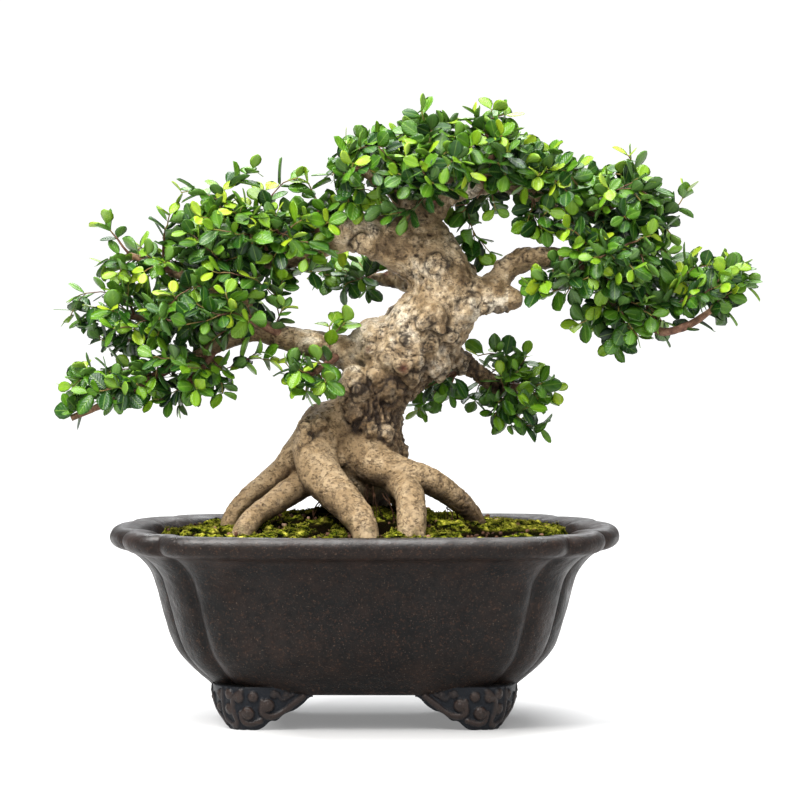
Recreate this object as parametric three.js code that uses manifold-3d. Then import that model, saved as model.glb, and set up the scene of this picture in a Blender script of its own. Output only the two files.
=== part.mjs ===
// A premna bonsai in a lobed clay pot. Millimetres, +Z up, the viewer looks along +Y.
// The wood (surface roots, trunk and limbs) is one grown piece. Leafy sprays grow on its limbs, each
// a forked twig with its leaves. The roots stand in holes in the soil, and moss lies on the soil.
// The pot is one fired piece with its four feet, and screens lie over its two drain holes.
import * as THREE from "three";
import { mergeVertices } from "three/addons/utils/BufferGeometryUtils.js";
import Module from "manifold-3d";

const wasm = await Module();
wasm.setup();

// Driving dimensions
const CLEARANCE = 0.35; // between pieces that touch
const POT_HEIGHT = 137; // rim top above the ground
const POT_HALF_LENGTH = 178.6; // end lobes, along X
const POT_HALF_DEPTH = 137; // front and back lobes, along Y
const FRONT_NOTCH = [141, 101]; // where a front lobe meets a corner lobe
const END_NOTCH = [161, 52]; // where a corner lobe meets an end lobe
const CORNER_BULGE = 14;
const BASE_Z = 24; // underside of the pot's floor
const FLOOR_Z = 35; // top of the pot's floor
const DRAIN_X = 52; // each drain hole's distance from the middle
const DRAIN_RADIUS = 11;
const SCREEN_SIDE = 34;
const SCREEN_HOLE = 12.5;
const SCREEN_PITCH = 16.2; // between the middles of a screen's holes
const SCREEN_THICK = 1.6;
const SOIL_EDGE_Z = 127; // soil against the pot's wall
const SOIL_CROWN = 15; // how much higher the soil is under the trunk
const MOSS_THICK = 4.5;
const LEAF_LENGTH = 16.5;
const LEAF_WIDTH = 10;
const LEAF_THICK = 1.8; // at the leaf's foot, tapering to its edge
const TWIG_RADIUS = 1.3;

// Helpers: solids, random numbers, vectors

function solidOf(geometry) {
  const bare = new THREE.BufferGeometry().setAttribute("position", geometry.getAttribute("position"));
  if (geometry.index) bare.setIndex(geometry.index);
  const merged = mergeVertices(bare, 1e-4);
  const triVerts = merged.index.array;
  const faces = [];
  for (let i = 0; i < triVerts.length; i += 3) {
    const [a, b, c] = triVerts.slice(i, i + 3);
    if (a !== b && b !== c && a !== c) faces.push(a, b, c);
  }
  const make = (order) =>
    new wasm.Manifold(
      new wasm.Mesh({
        numProp: 3,
        vertProperties: merged.getAttribute("position").array,
        triVerts: new Uint32Array(order),
      }),
    );
  const solid = make(faces);
  return solid.volume() > 0 ? solid : make(faces.reverse());
}

function geometryOf(solid) {
  const { vertProperties, triVerts } = solid.getMesh();
  const indexed = new THREE.BufferGeometry()
    .setAttribute("position", new THREE.BufferAttribute(new Float32Array(vertProperties), 3))
    .setIndex(new THREE.BufferAttribute(new Uint32Array(triVerts), 1));
  const flat = indexed.toNonIndexed();
  flat.computeVertexNormals();
  return flat;
}

const joined = (solids) => wasm.Manifold.union(solids);

// The largest body of a solid, without scraps and sealed hollows.
function mainBody(solid) {
  return solid.decompose().reduce((most, body) => (body.volume() > most.volume() ? body : most));
}

// A seeded random number generator (mulberry32), from 0 to 1.
function seeded(seed) {
  let state = seed;
  return () => {
    state = (state + 0x6d2b79f5) | 0;
    let t = Math.imul(state ^ (state >>> 15), 1 | state);
    t = (t + Math.imul(t ^ (t >>> 7), 61 | t)) ^ t;
    return ((t ^ (t >>> 14)) >>> 0) / 4294967296;
  };
}

const vec = (x, y, z) => new THREE.Vector3(x, y, z);
const UP = vec(0, 0, 1);
const smooth = (t) => t * t * (3 - 2 * t);
const clamp01 = (t) => Math.min(1, Math.max(0, t));

// A lathe whose vertex at turn i and profile point j is moved to place(i, j). It stays closed.
function latheBy(profile, turns, place) {
  const lathe = new THREE.LatheGeometry(
    profile.map(([radius, height]) => new THREE.Vector2(radius, height)),
    turns,
  );
  const position = lathe.getAttribute("position");
  for (let v = 0; v < position.count; v++) {
    const { x, y, z } = place(Math.floor(v / profile.length) % turns, v % profile.length);
    position.setXYZ(v, x, y, z);
  }
  return solidOf(lathe);
}

// A lathe profile for rows that are placed later: it only has to start and end on the axis.
const unitRows = (rows) => rows.map((_, j) => [j === 0 || j === rows.length - 1 ? 0 : 1, j]);

// A tapered round solid along [x, y, z, radius] stations, with a relief on its side.
function limb(stations, sides, rings, grow = 0, relief = () => 0) {
  const curve = new THREE.CatmullRomCurve3(
    stations.map(([x, y, z]) => vec(x, y, z)),
    false,
    "centripetal",
  );
  const { normals, binormals, tangents } = curve.computeFrenetFrames(rings, false);
  const radiusAt = (t) => {
    const along = t * (stations.length - 1);
    const i = Math.min(stations.length - 2, Math.floor(along));
    return THREE.MathUtils.lerp(stations[i][3], stations[i + 1][3], smooth(along - i));
  };
  const profile = [[0, 0], ...Array.from({ length: rings + 1 }, (_, i) => [1, i]), [0, rings]];
  return latheBy(profile, sides, (turn, j) => {
    const ring = THREE.MathUtils.clamp(j - 1, 0, rings);
    const centre = curve.getPointAt(ring / rings);
    const cap = j === 0 ? -1 : j === profile.length - 1 ? 1 : 0;
    if (cap) return centre.addScaledVector(tangents[ring], cap * grow);
    const angle = (2 * Math.PI * turn) / sides;
    const out = normals[ring].clone().multiplyScalar(Math.cos(angle));
    out.addScaledVector(binormals[ring], Math.sin(angle));
    const radius = radiusAt(curve.getUtoTmapping(ring / rings)) + grow;
    const skin = centre.clone().addScaledVector(out, radius);
    if (grow && ring === 0) skin.addScaledVector(tangents[ring], -grow);
    if (grow && ring === rings) skin.addScaledVector(tangents[ring], grow);
    return skin.addScaledVector(out, relief(skin));
  });
}

// Pot

// One lobe of the pot's plan: a rounded bulge on the line from one notch to the next.
function lobe([x0, y0], [x1, y1], bulge, squareness, steps) {
  const length = Math.hypot(x1 - x0, y1 - y0);
  const out = [(y1 - y0) / length, (x0 - x1) / length];
  return Array.from({ length: steps }, (_, k) => {
    const angle = Math.PI * (1 - k / steps);
    const side = Math.sign(Math.cos(angle)) * Math.abs(Math.cos(angle)) ** (2 / squareness);
    const rise = Math.sin(angle) ** (2 / squareness) * bulge;
    const along = (1 + side) / 2;
    return [x0 + (x1 - x0) * along + out[0] * rise, y0 + (y1 - y0) * along + out[1] * rise];
  });
}

// The rim's plan, counter-clockwise from the front left notch.
function potPlan() {
  const [fx, fy] = FRONT_NOTCH;
  const [ex, ey] = END_NOTCH;
  const frontBulge = POT_HALF_DEPTH - fy;
  const endBulge = POT_HALF_LENGTH - ex;
  const half = [
    ...lobe([-fx, -fy], [fx, -fy], frontBulge, 3.2, 8),
    ...lobe([fx, -fy], [ex, -ey], CORNER_BULGE, 2, 3),
    ...lobe([ex, -ey], [ex, ey], endBulge, 2.4, 4),
    ...lobe([ex, ey], [fx, fy], CORNER_BULGE, 2, 3),
  ];
  return [...half, ...half.map(([x, y]) => [-x, -y])];
}

const PLAN = potPlan();

// Rows of [share of the rim's plan, height], from the middle of the underside to the middle of the floor.
const OUTER_WALL = [
  [0, BASE_Z],
  [0.585, BASE_Z],
  [0.625, 30],
  [0.69, 40.5],
  [0.757, 57],
  [0.812, 90],
  [0.845, 106],
];
const RIM = [
  [0.925, 120.5],
  [0.98, 123.5],
  [1, 129.5],
  [0.965, POT_HEIGHT],
  [0.88, 134.5],
];
const INNER_WALL = [
  [0.845, 128],
  [0.7, 56],
  [0.6, FLOOR_Z],
  [0, FLOOR_Z],
];

const atPlan = (turn, share, z) => vec(PLAN[turn][0] * share, PLAN[turn][1] * share, z);

function potBowl() {
  const rows = [...OUTER_WALL, ...RIM, ...INNER_WALL];
  return latheBy(unitRows(rows), PLAN.length, (turn, j) => atPlan(turn, ...rows[j]));
}

// A front left foot: a strip round the corner, [x, y, underside z], with its sole at z 0.
const FOOT_PATH = [
  [-35, -80, 23],
  [-49, -82, 13.5],
  [-62, -84, 6.5],
  [-74, -85, 0],
  [-89, -82, 0],
  [-97, -74, 0],
  [-104, -60, 7],
  [-107, -42, 15],
  [-106, -26, 23],
];
const FOOT_TOP = 30;
const FOOT_THICK = 15;
const FOOT_LEAN = 0.17; // how far the face draws in toward its sole, as a share of its height
// Cloud scrolls on the foot's face: [share of the way along the path, height, radius]
const SCROLLS = [
  [0.28, 17, 7],
  [0.45, 9, 7],
  [0.54, 20, 7],
  [0.7, 14, 7],
];

function foot() {
  const curve = new THREE.CatmullRomCurve3(
    FOOT_PATH.map(([x, y]) => vec(x, y, 0)),
    false,
    "centripetal",
  );
  const outward = (t) => {
    const tangent = curve.getTangent(t);
    return vec(tangent.y, -tangent.x, 0).negate().normalize();
  };
  const last = FOOT_PATH.length - 1;
  const section = (k) => {
    const low = FOOT_PATH[k][2];
    const at = (depth, z) => curve.getPoint(k / last).addScaledVector(outward(k / last), depth).setZ(z);
    const drawnIn = (FOOT_TOP - low) * FOOT_LEAN;
    return [
      at(-1 - drawnIn, low),
      at(1 - drawnIn * 0.4, low + (FOOT_TOP - low) * 0.4),
      at(0.5, FOOT_TOP),
      at(-FOOT_THICK, FOOT_TOP),
      at(-FOOT_THICK, low),
    ];
  };
  const sections = FOOT_PATH.map((_, k) => section(k));
  const corners = sections[0].length;
  const positions = sections.flat().flatMap(({ x, y, z }) => [x, y, z]);
  const faces = [];
  for (let k = 0; k < last; k++)
    for (let c = 0; c < corners; c++) {
      const a = k * corners + c;
      const b = k * corners + ((c + 1) % corners);
      faces.push(a, b, a + corners, b, b + corners, a + corners);
    }
  const end = last * corners;
  for (let c = 1; c < corners - 1; c++) faces.push(0, c + 1, c, end, end + c, end + c + 1);
  const strip = new THREE.BufferGeometry()
    .setAttribute("position", new THREE.Float32BufferAttribute(positions, 3))
    .setIndex(faces);
  const bosses = SCROLLS.map(([share, z, radius]) => {
    const depth = radius * 0.45 + (FOOT_TOP - z) * FOOT_LEAN * 0.5;
    const centre = curve.getPoint(share).addScaledVector(outward(share), -depth).setZ(z);
    return solidOf(new THREE.IcosahedronGeometry(radius, 0).translate(centre.x, centre.y, centre.z));
  });
  return joined([solidOf(strip), ...bosses]);
}

function pot() {
  const frontLeft = foot();
  const mirrors = [
    [1, 1],
    [-1, 1],
    [1, -1],
    [-1, -1],
  ];
  const feet = mirrors.map(([mx, my]) => frontLeft.scale([mx, my, 1]));
  const holes = [-DRAIN_X, DRAIN_X].map((x) => {
    const drill = new THREE.CylinderGeometry(DRAIN_RADIUS, DRAIN_RADIUS, 40, 12);
    return solidOf(drill.rotateX(Math.PI / 2).translate(x, 0, FLOOR_Z - 5));
  });
  return mainBody(joined([potBowl(), ...feet]).subtract(joined(holes)));
}

// A square screen with a grid of square holes, flat on the pot's floor over a drain hole.
function drainScreen(x) {
  const z = FLOOR_Z + CLEARANCE + SCREEN_THICK / 2;
  const box = (side, tall, cx, cy) => solidOf(new THREE.BoxGeometry(side, side, tall).translate(cx, cy, z));
  const places = [-SCREEN_PITCH / 2, SCREEN_PITCH / 2];
  const mesh = places.flatMap((cx) => places.map((cy) => box(SCREEN_HOLE, 4 * SCREEN_THICK, x + cx, cy)));
  return box(SCREEN_SIDE, SCREEN_THICK, x, 0).subtract(joined(mesh));
}

// Soil and moss

// Height of the soil over the ground: a low mound under the trunk with small waves.
function soilHeight(x, y) {
  const out = Math.min(1, Math.hypot(x / 150, y / 112));
  const waves = 1.1 * Math.sin(x / 13 + 1) * Math.cos(y / 11) + 0.8 * Math.sin(x / 7 - y / 9);
  return SOIL_EDGE_Z + SOIL_CROWN * (1 - smooth(out)) + waves * (1 - out ** 4);
}

// Clumps of moss stand out of the mat.
function mossHeight(x, y) {
  const clumps = Math.sin(x / 9.5 + 2 * Math.sin(y / 17)) * Math.cos(y / 8.5 + 1.5 * Math.sin(x / 21));
  return soilHeight(x, y) + MOSS_THICK + 2.2 * clumps;
}

// Rings of the soil's top, as shares of the rim's plan, from the moss mat's wavy edge inward.
const MOSS_EDGE = 0.79;
const SOIL_RINGS = [MOSS_EDGE, 0.6, 0.32, 0];
const MOSS_RINGS = [0, 0.26, 0.52, 0.76];
const SOIL_GAP = 0.006; // share of the plan left open between the soil and the pot

function onSoil(turn, share, lift) {
  const wander = share > 0.7 ? 0.025 * Math.sin(turn * 1.9) : 0;
  const at = atPlan(turn, share - wander, 0);
  return at.setZ(soilHeight(at.x, at.y) + lift);
}

function soil() {
  const low = FLOOR_Z + CLEARANCE;
  const wall = [
    [0, low],
    [0.6 - SOIL_GAP, low],
    [0.7 - SOIL_GAP, 56],
    [0.842 - SOIL_GAP, SOIL_EDGE_Z],
  ];
  const rows = [...wall, ...SOIL_RINGS];
  return latheBy(unitRows(rows), PLAN.length, (turn, j) =>
    j < wall.length ? atPlan(turn, ...wall[j]) : onSoil(turn, rows[j], 0),
  );
}

// The moss mat's underside follows the rings of the soil.
function mossMat() {
  const rows = [...MOSS_RINGS, ...SOIL_RINGS];
  return latheBy(unitRows(rows), PLAN.length, (turn, j) => {
    if (j >= MOSS_RINGS.length) return onSoil(turn, rows[j], CLEARANCE);
    const at = onSoil(turn, rows[j], 0);
    return at.setZ(mossHeight(at.x, at.y));
  });
}

// Wood: stations are [x, y, z, radius]

const TRUNK = [
  [-2, 4, 165, 20],
  [-2, 4, 184, 31],
  [-3, 4, 203, 28.5],
  [0, 3, 221, 24.5],
  [9, 2, 239, 24.5],
  [28, 0, 259, 27.5],
  [44, -2, 276, 28.5],
  [55, -2, 293, 25.5],
  [53, 0, 310, 23],
  [44, 2, 327, 21.5],
  [35, 3, 340, 19.5],
  [29, 3, 351, 14],
];

const ROOTS = {
  front: [
    [-22, -4, 208, 17],
    [-33, -18, 194, 16.5],
    [-31, -38, 176, 14.5],
    [-19, -56, 163, 13],
    [-6, -73, 150, 11.5],
    [1, -85, 138, 9.5],
    [2, -92, 112, 8],
  ],
  leftBack: [
    [-26, 2, 209, 13],
    [-46, -3, 188, 9.4],
    [-61, -9, 174, 7.6],
    [-79, -18, 160, 6.6],
    [-92, -24, 146, 6],
    [-100, -30, 118, 5.6],
  ],
  leftFront: [
    [-26, -2, 176, 12],
    [-45, -18, 166, 9.8],
    [-63, -37, 155, 8.2],
    [-76, -54, 146.5, 8],
    [-84, -66, 136, 7.6],
    [-88, -73, 114, 6.8],
  ],
  right: [
    [-5, -12, 190, 16],
    [11, -26, 179, 14],
    [29, -34, 175, 10.6],
    [47, -33, 169, 9.4],
    [65, -28, 156.5, 8],
    [78, -20, 142, 6.4],
    [85, -14, 114, 5],
  ],
  rightFront: [
    [24, -34, 168, 9.6],
    [31, -54, 162, 10.5],
    [33, -69, 149.5, 10.1],
    [33, -81, 136, 9.6],
    [32, -88, 112, 8.6],
  ],
  backRight: [
    [10, 10, 200, 16],
    [16, 26, 184, 13],
    [22, 44, 168, 10.5],
    [27, 62, 150, 8.6],
    [31, 75, 130, 7.6],
    [32, 80, 112, 6.8],
  ],
  backLeft: [
    [-14, 12, 200, 16],
    [-32, 28, 184, 12.5],
    [-49, 47, 166, 10],
    [-62, 66, 148, 8],
    [-68, 78, 128, 7],
    [-70, 84, 112, 6.2],
  ],
  back: [
    [0, 20, 196, 16],
    [-2, 42, 178, 12],
    [-5, 64, 160, 9.6],
    [-8, 83, 140, 8],
    [-9, 94, 112, 6.8],
  ],
};

const LIMBS = {
  highLeft: [
    [40, 0, 325, 20],
    [26, -3, 333, 19],
    [10, -6, 339, 16.5],
    [-4, -8, 343, 13.5],
    [-15, -10, 338, 9.5],
    [-28, -12, 332, 7],
    [-46, -12, 325, 5.2],
    [-66, -9, 321, 4],
  ],
  backLeft: [
    [-14, -6, 338, 7],
    [-26, 12, 333, 5.5],
    [-44, 30, 327, 4.6],
    [-64, 42, 318, 3.6],
  ],
  lowLeft: [
    [14, -2, 248, 15],
    [-10, -8, 257, 11.5],
    [-28, -14, 263, 9.8],
    [-41, -18, 267, 9.2],
    [-55, -20, 269, 8.6],
    [-70, -19, 274, 7.6],
    [-82, -16, 286, 6],
    [-92, -13, 303, 4.4],
  ],
  knee: [
    [22, 0, 260, 18],
    [9, -5, 268, 14.5],
    [2, -7, 269, 12],
  ],
  lowOuter: [
    [-72, -19, 274, 7],
    [-86, -23, 270, 5.6],
    [-104, -27, 263, 4.8],
    [-122, -30, 254, 4],
  ],
  farLeft: [
    [-83, -15, 289, 5.4],
    [-98, -8, 298, 4.9],
    [-116, -1, 308, 4.3],
    [-134, 3, 314, 3.6],
  ],
  crownRight: [
    [35, 3, 340, 14.5],
    [40, 6, 355, 11],
    [47, 8, 365, 9.4],
    [60, 10, 371, 8.4],
    [78, 9, 374, 7.4],
    [94, 7, 376, 6],
    [112, 4, 372, 5],
    [130, 3, 360, 4.2],
    [146, 4, 350, 3.5],
  ],
  crownLeft: [
    [37, 2, 350, 9],
    [26, -6, 366, 6.5],
    [10, -12, 378, 4.6],
    [-4, -14, 387, 3.5],
  ],
  crownUp: [
    [50, 6, 360, 8],
    [54, 12, 378, 5.4],
    [50, 16, 396, 3.6],
  ],
  crownBack: [
    [48, 8, 358, 8],
    [54, 32, 370, 5.6],
    [62, 54, 380, 4],
  ],
  right: [
    [52, -2, 296, 21],
    [72, -4, 298, 14],
    [86, -4, 300, 11],
    [97, -1, 313, 7.6],
    [108, 0, 322, 8.2],
    [123, -3, 325, 7.4],
    [145, -4, 322, 6.2],
    [165, -2, 314, 5],
    [186, 0, 304, 4.2],
    [200, 1, 295, 3.6],
  ],
  rightStub: [
    [80, -9, 297, 12],
    [94, -11, 297, 10.4],
    [103, -11, 296, 8],
  ],
  rightBack: [
    [122, -4, 324, 6.5],
    [136, 16, 326, 5],
    [150, 36, 323, 3.8],
  ],
  lowRight: [
    [48, 8, 264, 10],
    [68, 24, 251, 6.8],
    [86, 36, 238, 4.8],
    [98, 41, 230, 3.8],
  ],
  back: [
    [48, 10, 294, 13],
    [40, 32, 301, 8],
    [26, 50, 306, 5.4],
    [8, 64, 307, 4],
  ],
};

// Burls and knots on the wood: [x, y, z, height, spread]
const BURLS = [
  [26, -28, 268, 5, 6],
  [17, -25, 272, 3.5, 5],
  [52, -28, 264, 5.5, 7],
  [48, -28, 279, 3.5, 6],
  [48, -26, 298, 6, 9],
  [70, -22, 302, 5, 8],
  [86, -22, 297, 3.5, 5],
  [-6, -22, 260, 6.5, 9],
  [4, -22, 273, 4, 5],
  [17, -26, 249, 5, 8],
  [48, -20, 322, 3, 5],
  [50, -18, 334, 4, 6],
  [0, -24, 350, 5, 7],
  [-12, -20, 340, 5, 8],
  [95, -18, 306, 4.5, 5],
  [66, -12, 280, 5, 8],
  [-16, -28, 197, 3.5, 3.5],
  [5, -27, 220, 5, 5],
  [15, -27, 217, 5, 6],
  [62, 22, 288, 5, 8],
  [24, 30, 262, 5, 8],
  [36, 28, 284, 4, 6],
  [30, 24, 322, 4, 6],
  [-22, 26, 230, 4, 7],
  [12, 30, 226, 5, 8],
  [-24, -10, 228, 4, 7],
];

function burlRelief(skin) {
  return BURLS.reduce((sum, [x, y, z, height, spread]) => {
    const near = skin.distanceToSquared(vec(x, y, z));
    return sum + height * Math.exp(-near / (2 * spread * spread));
  }, 0);
}

function wood(grow) {
  const trunk = limb(TRUNK, 15, 23, grow, burlRelief);
  const roots = Object.values(ROOTS).map((stations) => limb(stations, 7, stations.length, grow));
  const limbs = Object.values(LIMBS).map((stations) => {
    const sides = stations[0][3] > 14 ? 8 : 5;
    return limb(stations, sides, stations.length - 1, grow, burlRelief);
  });
  return mainBody(joined([trunk, ...roots, ...limbs]));
}

// Leafy sprays: each has an axis that carries on from a limb, [x, y, z, radius], the tips that its
// shoots reach, and a centre that its leaves face away from.
const SPRAYS = {
  left_low_tip: {
    axis: [[-118, -30, 256, 3.4], [-146, -33, 243, 3], [-172, -35, 228, 2.6], [-204, -36, 214, 2.2]],
    tips: [[-213, -36, 236], [-200, -28, 254], [-178, -54, 246], [-160, -20, 252], [-214, -46, 216]],
    centre: [-170, -34, 226],
  },
  left_low_mid: {
    axis: [[-103, -27, 263, 3], [-112, -32, 250, 2.6], [-122, -36, 240, 2.2]],
    tips: [[-130, -28, 216], [-94, -34, 228], [-150, -42, 224], [-114, -64, 234]],
    centre: [-122, -34, 232],
  },
  left_low_out: {
    axis: [[-86, -20, 270, 3.6], [-110, -16, 276, 3.2], [-140, -10, 280, 2.8], [-166, -8, 284, 2.2]],
    tips: [[-206, -10, 298], [-212, -4, 282], [-184, 14, 268], [-140, -36, 270], [-178, -32, 292]],
    centre: [-160, -8, 268],
  },
  left_mid_front: {
    axis: [[-56, -22, 271, 3.6], [-74, -36, 280, 3.2], [-94, -44, 286, 2.6]],
    tips: [[-104, -47, 322], [-74, -50, 316], [-138, -50, 304], [-128, -62, 284], [-88, -70, 288]],
    centre: [-96, -44, 276],
  },
  left_mid_back: {
    axis: [[-72, -12, 272, 3.6], [-82, 14, 278, 3.2], [-98, 36, 284, 2.6]],
    tips: [[-146, 44, 292], [-120, 70, 296], [-78, 60, 296], [-122, 30, 262]],
    centre: [-106, 36, 272],
  },
  left_high_out: {
    axis: [[-132, 3, 314, 3.2], [-148, 4, 320, 2.8], [-164, 7, 326, 2.2]],
    tips: [[-190, 8, 350], [-152, -12, 354], [-194, 6, 322], [-156, 36, 340]],
    centre: [-152, 4, 312],
  },
  left_high: {
    axis: [[-92, -13, 301, 3.8], [-98, -14, 320, 3.2], [-102, -13, 338, 2.4]],
    tips: [[-84, -14, 392], [-100, -18, 382], [-132, -10, 374], [-116, -40, 356], [-74, -36, 356]],
    centre: [-98, -12, 330],
  },
  left_high_back: {
    axis: [[-63, 42, 318, 3.2], [-78, 48, 326, 2.6], [-92, 52, 334, 2]],
    tips: [[-120, 52, 344], [-92, 76, 352], [-66, 50, 360]],
    centre: [-84, 48, 318],
  },
  left_inner: {
    axis: [[-64, -9, 321, 3.4], [-68, -12, 334, 2.8], [-62, -14, 348, 2.2]],
    tips: [[-46, -12, 386], [-72, 8, 376], [-50, -44, 340]],
    centre: [-60, -8, 334],
  },
  shoulder_left: {
    axis: [[-30, -12, 333, 3], [-32, -10, 344, 2.4], [-30, -9, 354, 2]],
    tips: [[-28, -10, 386], [-44, 20, 358], [-24, -40, 350]],
    centre: [-30, -8, 336],
  },
  crown_left: {
    axis: [[-3, -14, 386, 3], [-8, -15, 391, 2.4], [-12, -16, 396, 2]],
    tips: [[-18, -12, 412], [-38, -18, 384], [10, -18, 424], [-10, -48, 392]],
    centre: [0, -12, 374],
  },
  crown_top: {
    axis: [[50, 16, 394, 3], [46, 12, 402, 2.4], [42, 8, 408, 2]],
    tips: [[37, 0, 434], [60, 12, 428], [26, 34, 420]],
    centre: [44, 14, 386],
  },
  crown_front: {
    axis: [[48, -1, 365, 3.6], [46, -18, 371, 3], [42, -30, 378, 2.2]],
    tips: [[60, -38, 404], [24, -44, 400], [48, -64, 376], [78, -44, 384]],
    centre: [46, -22, 366],
  },
  crown_mid: {
    axis: [[80, 6, 374, 3.4], [86, 2, 386, 2.8], [90, 0, 398, 2.2]],
    tips: [[88, -2, 433], [108, 2, 428], [84, 34, 416], [108, -30, 408]],
    centre: [90, 2, 382],
  },
  crown_back: {
    axis: [[62, 54, 380, 3.4], [68, 64, 385, 2.6], [76, 72, 388, 2]],
    tips: [[104, 78, 396], [42, 76, 402], [74, 104, 388], [110, 50, 384]],
    centre: [66, 60, 372],
  },
  crown_right: {
    axis: [[114, 4, 372, 3.4], [123, 2, 380, 2.8], [130, 0, 386, 2.2]],
    tips: [[132, -6, 412], [156, 10, 396], [118, -34, 384], [134, 38, 388]],
    centre: [128, 0, 366],
  },
  right_high: {
    axis: [[145, 4, 350, 3.2], [162, 2, 357, 2.8], [180, 0, 363, 2.2]],
    tips: [[184, -4, 402], [206, 6, 390], [234, 2, 376], [184, 40, 372], [168, -36, 376]],
    centre: [178, 0, 348],
  },
  right_mid: {
    axis: [[150, -4, 321, 3.6], [160, -20, 326, 3], [170, -30, 328, 2.4]],
    tips: [[138, -44, 350], [204, -34, 344], [120, -36, 308], [190, -58, 318], [158, -62, 328]],
    centre: [158, -22, 316],
  },
  right_back: {
    axis: [[149, 35, 323, 3.4], [164, 42, 326, 2.8], [180, 48, 326, 2.2]],
    tips: [[216, 50, 334], [190, 76, 326], [154, 66, 338], [176, 60, 300]],
    centre: [172, 42, 314],
  },
  right_low: {
    axis: [[170, -3, 312, 3.4], [172, -10, 300, 2.8], [174, -11, 290, 2.2]],
    tips: [[172, -10, 258], [194, -18, 266], [144, -20, 278], [162, 18, 274]],
    centre: [172, -8, 290],
  },
  right_tip: {
    axis: [
      [199, 1, 295, 3.8],
      [205, -10, 274, 3.6],
      [222, -14, 276, 3],
      [243, -12, 289, 2.6],
      [256, -6, 302, 2],
    ],
    tips: [[248, 0, 330], [268, -2, 324], [274, -2, 304], [256, 6, 282], [224, 12, 326], [230, -34, 304]],
    centre: [232, 0, 294],
  },
  low_right: {
    axis: [[97, 41, 231, 3.2], [105, 44, 232, 2.6], [112, 45, 232, 2]],
    tips: [[116, 38, 264], [140, 46, 232], [130, 44, 204], [90, 40, 200], [84, 34, 214], [106, 70, 236]],
    centre: [106, 42, 228],
  },
  low_right_inner: {
    axis: [[70, 25, 250, 3], [62, 31, 241, 2.4], [54, 35, 234, 2]],
    tips: [[36, 30, 214], [28, 36, 230]],
    centre: [54, 30, 230],
  },
  trunk_left: {
    axis: [[-20, -20, 256, 3], [-27, -32, 251, 2.4], [-34, -38, 246, 2]],
    tips: [[-60, -38, 256], [-48, -40, 226], [-14, -52, 232]],
    centre: [-34, -34, 246],
  },
  behind: {
    axis: [[9, 64, 307, 3.4], [-6, 69, 306, 2.8], [-16, 73, 307, 2]],
    tips: [[8, 52, 282], [-44, 76, 310], [-14, 98, 318], [22, 84, 314]],
    centre: [-4, 66, 298],
  },
};

const STEP_ALONG = 9; // spacing of the points of the wood that a shoot can grow from
const PAIR_SPACING = 8.6; // between pairs of leaves
const LAST_PAIR = 10.5; // from a shoot's last pair of leaves to its tip
const TWIG_ROOM = 2.1; // radius kept clear round another spray's twig
const TRIES = 30;

const boxesMeet = (a, b) => [0, 1, 2].every((k) => a.min[k] < b.max[k] && b.min[k] < a.max[k]);
const boxed = (solid) => ({ solid, box: solid.boundingBox() });
const meets = (one, others) =>
  others.some((o) => boxesMeet(one.box, o.box) && one.solid.intersect(o.solid).volume() > 0);

// Forward, left and up at a distance along a shoot.
function frameAt({ path, length, light }, distance) {
  const share = clamp01(distance / length);
  const ahead = path.getTangentAt(share);
  const left = light.clone().cross(ahead).normalize();
  return { at: path.getPointAt(share), ahead, left, over: ahead.clone().cross(left) };
}

// One leaf's edge in the order of travel round the shoot, from its wide part by its blunt tip.
function leafEdge(foot, direction, travel, over, length, half) {
  const way = direction.clone().normalize();
  const across = travel.clone().addScaledVector(way, -travel.dot(way)).normalize();
  const point = (out, aside, lift) =>
    foot
      .clone()
      .addScaledVector(way, out * length)
      .addScaledVector(across, aside * half)
      .addScaledVector(over, lift * length);
  return [point(0.56, -1, 0.07), point(1, -0.42, -0.03), point(1, 0.42, -0.03), point(0.56, 1, 0.07)];
}

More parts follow.
